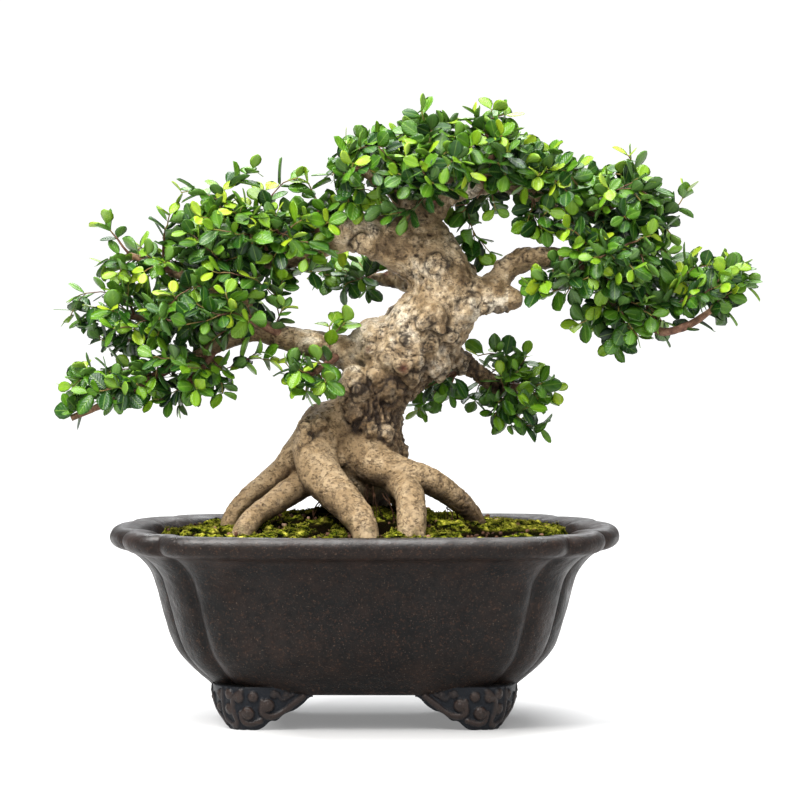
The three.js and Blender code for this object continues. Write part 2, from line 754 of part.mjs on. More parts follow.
// A leafy shoot: a three-sided twig that opens into pairs of leaves, flat and raised by turns, and
// ends in one leaf. Its top and underside meet along the leaves' edges.
function shootSolid(shoot, random, grow = 0, leafyPartOnly = false) {
  const first = shoot.length - LAST_PAIR - (shoot.pairs - 1) * PAIR_SPACING;
  const before = first - PAIR_SPACING / 2;
  const starts = leafyPartOnly ? [before] : before > 26 ? [0, before / 2, before] : [0, before];
  const points = [];
  const add = (point) => points.push(point) - 1;
  const rings = starts.map((distance) => {
    const { at, left, over } = frameAt(shoot, distance);
    const radius = TWIG_RADIUS * (1.15 - 0.3 * (distance / shoot.length)) + grow;
    const corner = (aside, rise) =>
      add(at.clone().addScaledVector(left, aside * radius).addScaledVector(over, rise * radius));
    return [corner(0, 1), corner(0.87, -0.5), corner(-0.87, -0.5)];
  });
  const faces = [rings[0][0], rings[0][2], rings[0][1]];
  for (let k = 0; k + 1 < rings.length; k++)
    for (let c = 0; c < 3; c++) {
      const next = (c + 1) % 3;
      faces.push(rings[k][c], rings[k][next], rings[k + 1][c]);
      faces.push(rings[k][next], rings[k + 1][next], rings[k + 1][c]);
    }
  const [ringTop, ringLeft, ringRight] = rings.at(-1);

  const nodes = Array.from({ length: shoot.pairs }, (_, k) => {
    const here = frameAt(shoot, first + k * PAIR_SPACING);
    const { at, ahead, left, over } = here;
    const raised = (shoot.pairs - 1 - k) % 2 === 1;
    const thick = LEAF_THICK / 2 + 2 * grow;
    const top = add(at.clone().addScaledVector(over, thick));
    const under = add(at.clone().addScaledVector(over, -thick));
    const leaf = (side) => {
      const length = LEAF_LENGTH * shoot.size * (0.86 + 0.24 * random()) + grow;
      const half = (LEAF_WIDTH / 2) * shoot.size * (0.9 + 0.15 * random()) + grow;
      const way = left.clone().multiplyScalar(side * (raised ? 0.62 : 0.85));
      way.addScaledVector(ahead, 0.35 + 0.3 * random()).addScaledVector(over, raised ? 0.6 : 0.08);
      return leafEdge(at, way, ahead, over, length, half).map(add);
    };
    const notch = (side) => {
      const isLast = k === shoot.pairs - 1;
      const place = at.clone().addScaledVector(ahead, isLast ? 1.8 : PAIR_SPACING / 2);
      return add(place.addScaledVector(left, side * 1.3));
    };
    return { top, under, left: leaf(1), right: leaf(-1), notches: [notch(1), notch(-1)], here };
  });
  const end = nodes.at(-1);
  const lastWay = end.here.ahead.clone().addScaledVector(end.here.over, 0.35);
  const lastRight = end.here.left.clone().negate();
  const lastSize = [LEAF_LENGTH * 0.9 * shoot.size + grow, LEAF_WIDTH * 0.45 * shoot.size + grow];
  const lastLeaf = leafEdge(end.here.at, lastWay, lastRight, end.here.over, ...lastSize).map(add);

  // The edge all round, each stretch with the node whose poles it is joined to.
  const stretch = (node, places) => places.map((place) => [place, node]);
  const edge = [
    ...nodes.flatMap((node, k) => stretch(node, [k ? nodes[k - 1].notches[0] : ringLeft, ...node.left])),
    ...stretch(end, [end.notches[0], ...lastLeaf]),
    ...nodes.toReversed().flatMap((node) => stretch(node, [node.notches[1], ...node.right.toReversed()])),
    [ringRight, null],
  ];
  faces.push(ringTop, ringLeft, nodes[0].top, ringLeft, ringRight, nodes[0].under);
  faces.push(nodes[0].top, ringRight, ringTop);
  for (let i = 0; i + 1 < edge.length; i++) {
    const [[p, node], [q, next]] = [edge[i], edge[i + 1]];
    faces.push(node.top, p, q, node.under, q, p);
    if (next && next !== node) faces.push(node.top, q, next.top, node.under, next.under, q);
  }
  return solidOf(meshOf(points, faces));
}

function meshOf(points, faces) {
  const places = new THREE.Float32BufferAttribute(points.flatMap((p) => [p.x, p.y, p.z]), 3);
  return new THREE.BufferGeometry().setAttribute("position", places).setIndex(faces);
}

// A bare three-sided twig, thicker than the real one, that keeps other sprays clear of it.
function twigRoom(path) {
  const light = vec(0.21, 0.1, 1);
  const corners = [0, 0.5, 1].flatMap((share) => {
    const { at, left, over } = frameAt({ path, length: 1, light }, share);
    const corner = (aside, rise) =>
      at.clone().addScaledVector(left, TWIG_ROOM * aside).addScaledVector(over, TWIG_ROOM * rise);
    return [corner(0, 1), corner(0.87, -0.5), corner(-0.87, -0.5)];
  });
  const faces = [0, 2, 1, 6, 7, 8];
  for (const k of [0, 3])
    for (let c = 0; c < 3; c++) {
      const next = (c + 1) % 3;
      faces.push(k + c, k + next, k + c + 3, k + next, k + next + 3, k + c + 3);
    }
  return solidOf(meshOf(corners, faces));
}

// The paths of a spray's shoots, each from the spray's nearest wood to a tip.
function shootPaths(spray, keepOff, random) {
  const knots = spray.axis.map(([x, y, z]) => vec(x, y, z));
  const axis = new THREE.CatmullRomCurve3(knots, false, "centripetal");
  const steps = Math.ceil(axis.getLength() / STEP_ALONG);
  const woody = Array.from({ length: steps }, (_, i) => ({
    at: axis.getPointAt((i + 1) / steps),
    way: axis.getTangentAt((i + 1) / steps),
  }));
  const start = axis.points[0];
  const paths = [];
  const tips = spray.tips.map((place) => vec(...place));
  for (const tip of tips.sort((a, b) => a.distanceTo(start) - b.distanceTo(start))) {
    const cost = ({ at, way }) => {
      const reach = tip.clone().sub(at);
      return Math.max(24, reach.length()) * (1.5 - 0.5 * reach.normalize().dot(way));
    };
    const from = woody.reduce((best, o) => (cost(o) < cost(best) ? o : best));
    const span = from.at.distanceTo(tip);
    for (let attempt = 0; attempt < TRIES; attempt++) {
      const knee = from.at.clone().lerp(tip, 0.5).addScaledVector(from.way, span * 0.15);
      knee.z += span * (0.04 + 0.1 * attempt * (random() - 0.4));
      knee.y += span * 0.1 * attempt * (random() - 0.5);
      const path = new THREE.QuadraticBezierCurve3(from.at, knee, tip);
      if (meets(boxed(twigRoom(path)), keepOff)) continue;
      paths.push(path);
      const share = 0.4;
      woody.push({ at: path.getPoint(share), way: path.getTangent(share) });
      break;
    }
  }
  return paths;
}

// A shoot near its path: the leaves' tops face the light and the outside of the crown. Each further
// attempt turns it more, moves its tip, and makes it smaller.
function shootOn({ v0, v1, v2 }, centre, random, attempt) {
  const stray = () => 0.9 * attempt * (random() - 0.5);
  const tip = v2.clone().add(vec(stray(), stray(), stray()));
  const path = new THREE.QuadraticBezierCurve3(v0, v1, tip);
  const length = path.getLength();
  const light = UP.clone().addScaledVector(tip.clone().sub(centre).normalize(), 0.45);
  light.x += (0.5 + 0.12 * attempt) * (random() - 0.5);
  light.y += (0.5 + 0.12 * attempt) * (random() - 0.5) - 0.25;
  const room = length - LAST_PAIR - 11;
  const most = attempt < TRIES / 4 ? 3 : 2;
  const pairs = THREE.MathUtils.clamp(1 + Math.floor(room / PAIR_SPACING), 1, most);
  return { path, length, light, size: 1.04 - 0.012 * attempt, pairs };
}

function sprays() {
  const random = seeded(20);
  const woodRoom = boxed(woodCutter);
  const built = [];
  const twigRooms = [];
  for (const [name, spray] of Object.entries(SPRAYS)) {
    const keepOff = [woodRoom, ...twigRooms];
    const axis = limb(spray.axis, 4, spray.axis.length - 1);
    const paths = shootPaths(spray, keepOff, random);
    if (paths.length < spray.tips.length) console.warn(name + ": a tip has no twig");
    twigRooms.push(...[axis, ...paths.map(twigRoom)].map((solid) => ({ name, ...boxed(solid) })));
    built.push({ name, axis, paths, centre: vec(...spray.centre) });
  }
  const leafRooms = [];
  return built.map(({ name, axis, paths, centre }) => {
    const solids = [axis];
    const others = twigRooms.filter((o) => o.name !== name);
    for (const path of paths) {
      let leafy = null;
      for (let attempt = 0; attempt < TRIES && !leafy; attempt++) {
        const shoot = shootOn(path, centre, random, attempt);
        const seed = Math.floor(1e6 * random());
        const room = boxed(shootSolid(shoot, seeded(seed), CLEARANCE, true));
        if (meets(room, [woodRoom, ...others, ...leafRooms])) continue;
        leafRooms.push(room);
        leafy = shootSolid(shoot, seeded(seed));
      }
      if (leafy) solids.push(leafy);
      else console.warn(name + ": a twig has no leaves");
    }
    return [name, mainBody(joined(solids).subtract(woodCutter))];
  });
}

// Materials

const MATERIALS = {
  clay: new THREE.MeshStandardMaterial({ color: 0x2e2826, roughness: 0.62, metalness: 0 }),
  bark: new THREE.MeshStandardMaterial({ color: 0xb49a78, roughness: 0.85, metalness: 0 }),
  leaf: new THREE.MeshStandardMaterial({ color: 0x3f7a22, roughness: 0.4, metalness: 0 }),
  soil: new THREE.MeshStandardMaterial({ color: 0x3a2a1e, roughness: 0.95, metalness: 0 }),
  moss: new THREE.MeshStandardMaterial({ color: 0x6f8f1c, roughness: 0.9, metalness: 0 }),
  screen: new THREE.MeshStandardMaterial({ color: 0x1c1c1c, roughness: 0.6, metalness: 0 }),
};

// Assembly

const woodSolid = wood(0);
const woodCutter = wood(CLEARANCE);
const pieces = [
  ["pot", pot(), "clay"],
  ["drain_screen_left", drainScreen(-DRAIN_X), "screen"],
  ["drain_screen_right", drainScreen(DRAIN_X), "screen"],
  ["trunk", woodSolid, "bark"],
];

// The screens sit in shallow recesses in the soil's underside.
const screenRoom = [-DRAIN_X, DRAIN_X].map((x) => {
  const side = SCREEN_SIDE + 2 * CLEARANCE;
  const room = new THREE.BoxGeometry(side, side, 2 * (SCREEN_THICK + CLEARANCE));
  return solidOf(room.translate(x, 0, FLOOR_Z + CLEARANCE));
});
pieces.push(["soil", mainBody(soil().subtract(joined([woodCutter, ...screenRoom]))), "soil"]);
pieces.push(["moss", mainBody(mossMat().subtract(woodCutter)), "moss"]);
for (const [name, solid] of sprays()) pieces.push(["spray_" + name, solid, "leaf"]);

const bonsai = new THREE.Group();
for (const [name, solid, material] of pieces) {
  const mesh = new THREE.Mesh(geometryOf(solid), MATERIALS[material]);
  mesh.name = name;
  bonsai.add(mesh);
}

// The origin is on the ground, under the middle of the bonsai's box.
const middle = new THREE.Box3().setFromObject(bonsai).getCenter(vec(0, 0, 0));
for (const mesh of bonsai.children) mesh.position.set(-middle.x, -middle.y, 0);

export default bonsai;
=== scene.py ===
# The looks of a premna bonsai in a lobed clay pot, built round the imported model.
# Tables are in millimetres from the middle of the pot, +Z up, and the viewer looks along +Y.
import math
from itertools import product

import bpy
import numpy as np
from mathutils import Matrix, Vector
from mathutils.kdtree import KDTree


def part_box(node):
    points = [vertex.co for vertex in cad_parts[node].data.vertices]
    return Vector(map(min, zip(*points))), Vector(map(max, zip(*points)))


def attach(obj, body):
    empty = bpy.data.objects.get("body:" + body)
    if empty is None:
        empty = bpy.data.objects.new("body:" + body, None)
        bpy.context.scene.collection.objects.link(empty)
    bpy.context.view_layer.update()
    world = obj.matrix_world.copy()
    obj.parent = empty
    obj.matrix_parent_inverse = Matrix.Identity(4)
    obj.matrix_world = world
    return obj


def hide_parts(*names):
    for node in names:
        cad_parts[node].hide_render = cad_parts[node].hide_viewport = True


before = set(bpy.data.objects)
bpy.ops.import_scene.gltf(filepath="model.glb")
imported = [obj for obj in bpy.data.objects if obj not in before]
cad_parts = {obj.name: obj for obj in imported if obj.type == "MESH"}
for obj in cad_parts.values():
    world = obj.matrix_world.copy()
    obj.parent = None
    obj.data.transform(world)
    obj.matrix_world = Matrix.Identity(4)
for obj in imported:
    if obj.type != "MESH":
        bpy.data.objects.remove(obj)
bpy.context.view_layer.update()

MM = 0.001
POT_LOW, POT_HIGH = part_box("pot")
POT_MIDDLE = np.array([(POT_LOW.x + POT_HIGH.x) / 2, (POT_LOW.y + POT_HIGH.y) / 2, 0.0])
UP = np.array([0.0, 0.0, 1.0])
TAU = 2 * math.pi


# Numbers, noise and curves

def rows_of(text):
    """Rows of numbers from text: commas part the rows, and spaces the numbers in them."""
    return [[float(number) for number in row.split()] for row in text.split(",")]


def tables(text):
    """Tables by name from text: empty lines part the names, and semicolons the tables of one name."""
    named = {}
    for entry in text.strip().split("\n\n"):
        name, body = entry.split(":")
        named[name] = [rows_of(part) for part in body.split(";")]
    return named


def lerp(a, b, t):
    return a + (b - a) * t


def smooth(t):
    t = np.clip(t, 0.0, 1.0)
    return t * t * (3 - 2 * t)


def ease(low, high, x):
    return smooth((x - low) / (high - low))


def bell(x, middle, width):
    """1 at the middle, falling to 0 on both sides of it."""
    return np.exp(-((x - middle) / width) ** 2)


def unit(v):
    v = np.asarray(v, float)
    return v / np.maximum(np.linalg.norm(v, axis=-1, keepdims=True), 1e-9)


def lattice(i, j, k, seed):
    """A random number from 0 to 1 for each whole-number place."""
    mask = np.uint64(0xFFFFFFFF)
    h = i.astype(np.uint64) * np.uint64(73856093)
    h ^= j.astype(np.uint64) * np.uint64(19349663)
    h ^= k.astype(np.uint64) * np.uint64(83492791)
    h = (h + np.uint64(seed) * np.uint64(2654435761)) & mask
    h = ((h ^ (h >> np.uint64(15))) * np.uint64(2246822519)) & mask
    h = ((h ^ (h >> np.uint64(13))) * np.uint64(3266489917)) & mask
    return (h ^ (h >> np.uint64(16))).astype(float) / float(0xFFFFFFFF)


def noise(points, seed=0):
    """Smooth value noise from -1 to 1 at (n, 3) points, one cell a unit."""
    cell = np.floor(points)
    t = points - cell
    t = t * t * t * (t * (t * 6 - 15) + 10)
    i, j, k = cell.astype(np.int64).T
    total = np.zeros(len(points))
    for a, b, c in product((0, 1), repeat=3):
        weight = np.abs(1 - a - t[:, 0]) * np.abs(1 - b - t[:, 1]) * np.abs(1 - c - t[:, 2])
        total += weight * lattice(i + a, j + b, k + c, seed)
    return total * 2 - 1


def fbm(points, octaves, seed=0):
    """Noise of several sizes added up, about -1 to 1."""
    total, reach = np.zeros(len(points)), 0.0
    for octave in range(octaves):
        share = 0.5 ** octave
        total += share * noise(points * 2.03 ** octave + 7.1 * octave, seed + octave)
        reach += share
    return total / reach


def cells(points, seed=0):
    """Distances to the nearest and the next nearest of scattered points, one in each unit cell."""
    near, after = np.full((2, len(points)), 9.0)
    for step in product((-1, 0, 1), repeat=3):
        cell = np.floor(points) + step
        i, j, k = cell.astype(np.int64).T
        place = cell + np.stack([lattice(i, j, k, seed + n) for n in range(3)], 1)
        d = np.linalg.norm(points - place, axis=1)
        after = np.minimum(after, np.maximum(near, d))
        near = np.minimum(near, d)
    return near, after


def noises(points, seeds):
    """A vector of noise at each point, with a seed for each axis."""
    return np.stack([noise(points, seed) for seed in seeds], 1)


def lines_of(value, width):
    """Thin lines where a value passes zero, 1 on the line."""
    return np.clip(1 - np.abs(value) / width, 0, 1)


def flat_at(x, y):
    return np.stack([x, y, np.zeros_like(x)], 1)


def run_along(points):
    """How far along a path each of its points lies."""
    return np.concatenate([[0], np.cumsum(np.linalg.norm(np.diff(points, axis=0), axis=1))])


def spline(stations, step):
    """Points every step mm along a centripetal Catmull-Rom curve. Columns past the third are blended."""
    rows = np.array(stations, float)
    xyz = rows[:, :3]
    ends = np.vstack([2 * xyz[0] - xyz[1], xyz, 2 * xyz[-1] - xyz[-2]])
    out = []
    for i in range(len(xyz) - 1):
        p0, p1, p2, p3 = ends[i:i + 4]
        t1 = np.linalg.norm(p1 - p0) ** 0.5
        t2 = t1 + np.linalg.norm(p2 - p1) ** 0.5
        t3 = t2 + np.linalg.norm(p3 - p2) ** 0.5
        count = max(1, math.ceil(np.linalg.norm(p2 - p1) / step))
        for k in range(count + (i == len(xyz) - 2)):
            t = lerp(t1, t2, k / count)
            a1 = lerp(p0, p1, t / t1)
            a2 = lerp(p1, p2, (t - t1) / (t2 - t1))
            a3 = lerp(p2, p3, (t - t2) / (t3 - t2))
            b1 = lerp(a1, a2, t / t2)
            b2 = lerp(a2, a3, (t - t1) / (t3 - t1))
            rest = lerp(rows[i, 3:], rows[i + 1, 3:], smooth(k / count))
            out.append(np.concatenate([lerp(b1, b2, (t - t1) / (t2 - t1)), rest]))
    return np.array(out)


# Meshes

def facing_out(points, faces):
    """The faces of a closed mesh, turned so that they point out of the space they hold."""
    corners = np.array([[face[0], face[k], face[k + 1]] for face in faces for k in range(1, len(face) - 1)])
    a, b, c = (points[corners[:, n]] for n in range(3))
    return faces if np.sum(a * np.cross(b, c)) > 0 else [face[::-1] for face in faces]


def closed_rows(rows, columns):
    """Quads between rows of points that each close on themselves."""
    i, j = np.meshgrid(np.arange(rows - 1), np.arange(columns), indexing="ij")
    here, beside = i * columns + j, i * columns + (j + 1) % columns
    return np.stack([here, beside, beside + columns, here + columns], -1).reshape(-1, 4).tolist()


def capped_rows(rows, columns):
    """The same quads, and one face over each end."""
    last = (rows - 1) * columns
    return closed_rows(rows, columns) + [list(range(columns))[::-1], [last + k for k in range(columns)]]


def fanned_rows(points, columns, low, high):
    """Points and faces of closed rows, with fans over the ends from the heights low and high."""
    foot, last = len(points), len(points) - columns
    faces = closed_rows(foot // columns, columns)
    faces += [[foot, (k + 1) % columns, k] for k in range(columns)]
    faces += [[foot + 1, last + k, last + (k + 1) % columns] for k in range(columns)]
    points = np.vstack([points, [[0, 0, low], [0, 0, high]]])
    return points, facing_out(points, faces)


def tube(path, radii, sides):
    """Points and faces of a round tube along a path."""
    path = np.asarray(path, float)
    tangent = unit(np.gradient(path, axis=0))
    side = unit(np.cross(tangent[0], UP if abs(tangent[0][2]) < 0.9 else (1.0, 0.0, 0.0)))
    angles = np.arange(sides) * TAU / sides
    points = []
    for at, ahead, radius in zip(path, tangent, radii):
        side = unit(side - ahead * (side @ ahead))
        other = np.cross(ahead, side)
        points.append(at + radius * (np.cos(angles)[:, None] * side + np.sin(angles)[:, None] * other))
    points = np.concatenate(points)
    return points, facing_out(points, capped_rows(len(path), sides))


def ball(rings, sides):
    """Points and quads or triangles of a unit ball."""
    points = [(0.0, 0.0, -1.0)]
    for r in range(1, rings):
        polar = math.pi * r / rings
        wide, high = math.sin(polar), -math.cos(polar)
        for s in range(sides):
            turn = TAU * s / sides
            points.append((wide * math.cos(turn), wide * math.sin(turn), high))
    points.append((0.0, 0.0, 1.0))
    faces = [[0, 1 + (s + 1) % sides, 1 + s] for s in range(sides)]
    for r in range(rings - 2):
        for s in range(sides):
            a, b = 1 + r * sides + s, 1 + r * sides + (s + 1) % sides
            faces.append([a, b, b + sides, a + sides])
    top = len(points) - 1
    faces += [[top, top - sides + s, top - sides + (s + 1) % sides] for s in range(sides)]
    return np.array(points), faces


class Heap:
    """Points, faces and point values gathered into one mesh."""

    def __init__(self):
        self.points, self.faces, self.values, self.count = [], [], {}, 0

    def add(self, points, faces, **values):
        self.points.append(points)
        self.faces += [[p + self.count for p in face] for face in faces]
        self.count += len(points)
        for name, value in values.items():
            self.values.setdefault(name, []).append(np.broadcast_to(value, len(points)))

    def piece(self, name, material):
        values = {key: np.concatenate(parts) for key, parts in self.values.items()}
        return piece(name, np.concatenate(self.points), self.faces, material, **values)


def in_metres(points):
    return (points + POT_MIDDLE / MM) * MM


def store(mesh, **values):
    for key, value in values.items():
        attribute = mesh.attributes.new(key, "FLOAT", "POINT")
        attribute.data.foreach_set("value", np.asarray(value, np.float32))


def piece(name, points, faces, material, **values):
    mesh = bpy.data.meshes.new(name)
    mesh.from_pydata(in_metres(points).tolist(), [], faces)
    store(mesh, **values)
    mesh.shade_smooth()
    mesh.materials.append(material)
    made = bpy.data.objects.new(name, mesh)
    bpy.context.scene.collection.objects.link(made)
    return made


def modify(made, kind, **settings):
    modifier = made.modifiers.new(kind.lower(), kind)
    for key, value in settings.items():
        setattr(modifier, key, value)


def apply_modifiers(made):
    """Turns an object's mesh into the result of its modifiers."""
    graph = bpy.context.evaluated_depsgraph_get()
    graph.update()
    result = bpy.data.meshes.new_from_object(made.evaluated_get(graph))
    made.modifiers.clear()
    made.data = result


def vectors_of(mesh, key):
    found = np.empty(len(mesh.vertices) * 3, np.float32)
    mesh.vertices.foreach_get(key, found)
    return found.reshape(-1, 3).astype(float)


def skin_of(mesh):
    """A mesh's points and their normals."""
    return vectors_of(mesh, "co") / MM - POT_MIDDLE / MM, vectors_of(mesh, "normal")


def move_to(mesh, points):
    mesh.vertices.foreach_set("co", in_metres(points).astype(np.float32).ravel())
    mesh.update()


# Materials

def rgb(code):
    """A hex colour as the linear colour that Blender's sockets take."""
    parts = [int(code[k:k + 2], 16) / 255 for k in (0, 2, 4)]
    return tuple(c / 12.92 if c < 0.04045 else ((c + 0.055) / 1.055) ** 2.4 for c in parts) + (1.0,)


class Finish:
    """A material on a Principled shader. Its short calls add nodes and return their outputs."""

    def __init__(self, name, roughness, specular=0.5):
        self.material = bpy.data.materials.new(name)
        self.material.use_nodes = True
        self.tree = self.material.node_tree
        self.inputs = self.tree.nodes["Principled BSDF"].inputs
        self.inputs["Roughness"].default_value = roughness
        self.inputs["Specular IOR Level"].default_value = specular
        self.place = self.tree.nodes.new("ShaderNodeTexCoord").outputs["Object"]

    def put(self, socket, value):
        if isinstance(value, bpy.types.NodeSocket):
            self.tree.links.new(value, socket)
        else:
            socket.default_value = value

    def add(self, kind, output, *given, settings=(), **named):
        """Adds a node, fills its sockets in order and by name, and returns one of its outputs."""
        made = self.tree.nodes.new("ShaderNode" + kind)
        for key, value in settings:
            setattr(made, key, value)
        for key, value in [*enumerate(given), *named.items()]:
            self.put(made.inputs[key], value)
        return made.outputs[output]

    def value(self, name):
        return self.add("Attribute", "Fac", settings=[("attribute_name", name)])

    def stretched(self, *scale):
        """The place, scaled differently along X, Y and Z."""
        return self.add("Mapping", "Vector", self.place, Scale=scale)

    def noise(self, scale, detail=4, rough=0.55, place=None, distortion=0):
        return self.add("TexNoise", "Fac", Vector=place or self.place, Scale=scale, Detail=detail,
                        Roughness=rough, Distortion=distortion)

    def cells(self, scale, place=None, feature="F1"):
        return self.add("TexVoronoi", "Distance", settings=[("feature", feature)], Vector=place or self.place,
                        Scale=scale)

    def ramp(self, value, *stops):
        made = self.add("ValToRGB", "Color", value)
        elements = made.node.color_ramp.elements
        while len(elements) < len(stops):
            elements.new(0.5)
        for element, (place, colour) in zip(elements, stops):
            element.position = place
            element.color = rgb(colour) if isinstance(colour, str) else (colour, colour, colour, 1.0)
        return made

    def span(self, value, low, high, to_low=0, to_high=1):
        return self.add("MapRange", "Result", value, low, high, to_low, to_high)

    def patches(self, scale, detail, rough, *limits):
        """Noise between two limits, spread from 0 to 1 or between two more."""
        return self.span(self.noise(scale, detail, rough), *limits)

    def mix(self, share, a, b, blend="MIX"):
        made = self.add("Mix", 2, share, settings=[("data_type", "RGBA"), ("blend_type", blend)])
        for index, given in ((6, a), (7, b)):
            self.put(made.node.inputs[index], rgb(given) if isinstance(given, str) else given)
        return made

    def maths(self, kind, a, b=0):
        return self.add("Math", 0, a, b, settings=[("operation", kind)])

    def times(self, a, b):
        return self.maths("MULTIPLY", a, b)

    def away_from(self, value, middle):
        return self.maths("ABSOLUTE", self.maths("SUBTRACT", value, middle))

    def layer(self, under, share, strength, colour):
        """A colour laid over another by a share, at a strength."""
        return self.mix(self.times(share, strength), under, colour)

    def done(self, colour, *bumps, roughness=None):
        """The material. Each bump is its height and depth in mm, and carries on from the last."""
        self.put(self.inputs["Base Color"], colour)
        if roughness is not None:
            self.put(self.inputs["Roughness"], roughness)
        normal = None
        for height, depth_mm in bumps:
            before = {"Normal": normal} if normal else {}
            normal = self.add("Bump", "Normal", Height=height, Distance=depth_mm * MM, **before)
        if normal:
            self.put(self.inputs["Normal"], normal)
        return self.material


def clay_finish():
    """Unglazed dark clay: brown-black, with rusty and pale specks, worn brown on what stands out, and a grey
    painted sheen where it shines.
    """
    f = Finish("clay", 0.45)
    polish = f.value("polish")
    f.put(f.inputs["Specular IOR Level"], f.span(polish, 0, 1, 0.15, 0.75))
    base = f.ramp(f.noise(14, 5), (0.3, "0a0a0b"), (0.52, "101010"), (0.72, "1a1716"))
    base = f.layer(base, f.patches(38, 6, 0.7, 0.50, 0.70), 0.5, "291c16")
    base = f.mix(f.patches(260, 4, 0.7, 0.42, 0.5, 0.7, 0), base, "080708")
    base = f.layer(base, f.patches(480, 3, 0.7, 0.56, 0.68), 0.5, "4d3628")
    base = f.layer(base, f.patches(900, 2, 0.6, 0.64, 0.74), 0.45, "7c6b5e")
    base = f.layer(base, f.span(f.value("worn"), 0, 1), 0.75, "432f25")
    base = f.layer(base, f.value("sunk"), 0.85, "1c2026")
    # Painted sheen: grey laid over the clay where it shines, on the rim's top and on the feet's bosses.
    base = f.layer(base, polish, 0.25, "2b2a2c")
    rough = f.maths("SUBTRACT", f.patches(60, 4, 0.55, 0.3, 0.7, 0.28, 0.56), f.times(polish, 0.06))
    return f.done(base, (f.noise(1400, 3, 0.6), 0.2), (f.span(f.cells(330), 0, 0.28), 0.15),
                  (f.noise(150, 5), 0.9), roughness=rough)


def bark_finish():
    """Pale, knobby bark: a cream painted highlight on what stands out, darker in the folds, partly as painted
    shade, grey-green where it is damp.
    """
    f = Finish("bark", 0.62, 0.45)
    trunk, fissured = f.value("trunk"), f.value("fissured")
    on_trunk = f.span(trunk, 0, 1, 0.16, 1)
    broad = f.times(f.patches(38, 6, 0.65, 0.3, 0.7, -0.22, 0.22), on_trunk)
    colour = f.ramp(f.maths("ADD", broad, f.value("tone_and_painted_shade")),
                    (0.1, "664f32"), (0.4, "9f8560"), (0.7, "cdb693"), (1, "efe1c8"))
    colour = f.layer(colour, f.times(f.patches(110, 6, 0.75, 0.54, 0.68), 0.5), on_trunk, "7c5c3a")
    streaks = f.span(f.noise(1, 5, 0.7, f.stretched(260, 260, 80)), 0.5, 0.7)
    colour = f.layer(colour, f.times(streaks, 0.45), on_trunk, "6a4e2c")
    brown = f.ramp(f.noise(210, 6, 0.75),
                   (0.34, "2d1c0d"), (0.46, "614627"), (0.58, "8c6b44"), (0.7, "b7996d"))
    colour = f.layer(colour, fissured, 0.8, brown)
    # Painted highlight: paler cream on what stands out.
    colour = f.layer(colour, f.value("raised"), 0.4, "c8b08a")
    # Darker by depth: partly the bark's own dark cracks and pits, and partly painted shade in folds, creases,
    # hollows, undersides and under the arches.
    colour = f.mix(f.span(f.value("depth"), 0.1, 0.9, 0, 0.93), colour, "24170b")
    colour = f.layer(colour, f.value("red"), 0.8, "6a2f20")
    colour = f.layer(colour, f.value("damp"), f.patches(90, 5, 0.7, 0.35, 0.65), "616428")
    creases = 0
    for scale, width, strength in ((75, 0.010, 0.75), (160, 0.014, 0.4), (330, 0.018, 0.2)):
        level = f.away_from(f.noise(scale, 4, 0.6, distortion=0.4), 0.5)
        creases = f.maths("MAXIMUM", f.span(level, 0, width, strength, 0), creases)
    broken = f.patches(210, 2, 0.55, 0.42, 0.56, 0, 0.9)
    creases = f.times(creases, f.maths("MAXIMUM", trunk, broken))
    across = f.away_from(f.noise(1, 4, 0.6, f.stretched(90, 90, 260)), 0.5)
    creases = f.maths("MAXIMUM", f.times(f.span(across, 0, 0.026, 0.6, 0), broken), creases)
    colour = f.mix(creases, colour, "35230f")
    pores = f.cells(190, f.stretched(1, 1, 1.6))
    spots = f.times(f.span(pores, 0.12, 0.26, 1, 0), f.span(pores.node.outputs["Color"], 0.35, 0.45))
    colour = f.layer(colour, spots, 0.6, "3f2a17")
    curls = f.away_from(f.cells(1, f.stretched(230, 230, 310)), 0.40)
    curls = f.times(f.span(curls, 0.05, 0.15, 1, 0), f.patches(330, 2, 0.55, 0.50, 0.56, 0, 0.62))
    curls = f.times(curls, f.span(trunk, 0, 1, 1, 0.4))
    colour = f.mix(curls, colour, "523a1f")
    crackle = f.cells(1, f.stretched(230, 230, 120), "DISTANCE_TO_EDGE")
    colour = f.mix(f.times(f.span(crackle, 0, 0.12, 0.6, 0), fissured), colour, "2d1d10")
    pits = f.maths("ADD", f.maths("ADD", spots, creases), curls)
    grain = f.noise(1, 6, 0.75, f.stretched(330, 330, 140))
    return f.done(colour, (f.noise(900, 5, 0.7), 0.5), (pits, -1), (grain, 1.5), (f.noise(120, 5, 0.65), 3))


def twig_finish():
    """Thin bark: reddish brown, greener at the growing tips."""
    f = Finish("twig", 0.72, 0.35)
    brown = f.ramp(f.noise(260, 5, 0.7), (0.3, "3f2a20"), (0.52, "6b4a39"), (0.75, "94755c"))
    green = f.ramp(f.noise(150, 3), (0.3, "7c5a2c"), (0.7, "8c9a3a"))
    return f.done(f.mix(f.value("young"), brown, green), (f.noise(900, 4, 0.7), 0.4))


def leaf_finish():
    """Glossy leaves: yellow-green when young, then mid green, then a deep green, with a pale midrib."""
    f = Finish("leaf", 0.34, 0.4)
    age = f.maths("ADD", f.value("age"), f.patches(260, 3, 0.55, 0.3, 0.7, -0.07, 0.07))
    colour = f.ramp(age, (0, "9cb524"), (0.2, "749b1b"), (0.45, "4f7d15"), (0.68, "224c11"), (0.95, "0a250e"))
    across = f.maths("ABSOLUTE", f.value("across"))
    colour = f.layer(colour, f.span(across, 0, 0.10, 1, 0), 0.4, "8fb050")
    colour = f.layer(colour, f.span(across, 0.86, 1), 0.22, "7ca63e")
    colour = f.layer(colour, f.value("under"), 0.45, "6c8f4c")
    veins = f.maths("SINE", f.maths("ADD", f.times(f.value("along"), 46), f.times(across, -13)))
    return f.done(colour, (veins, 0.05), roughness=f.patches(300, 3, 0.55, 0.3, 0.7, 0.26, 0.42))


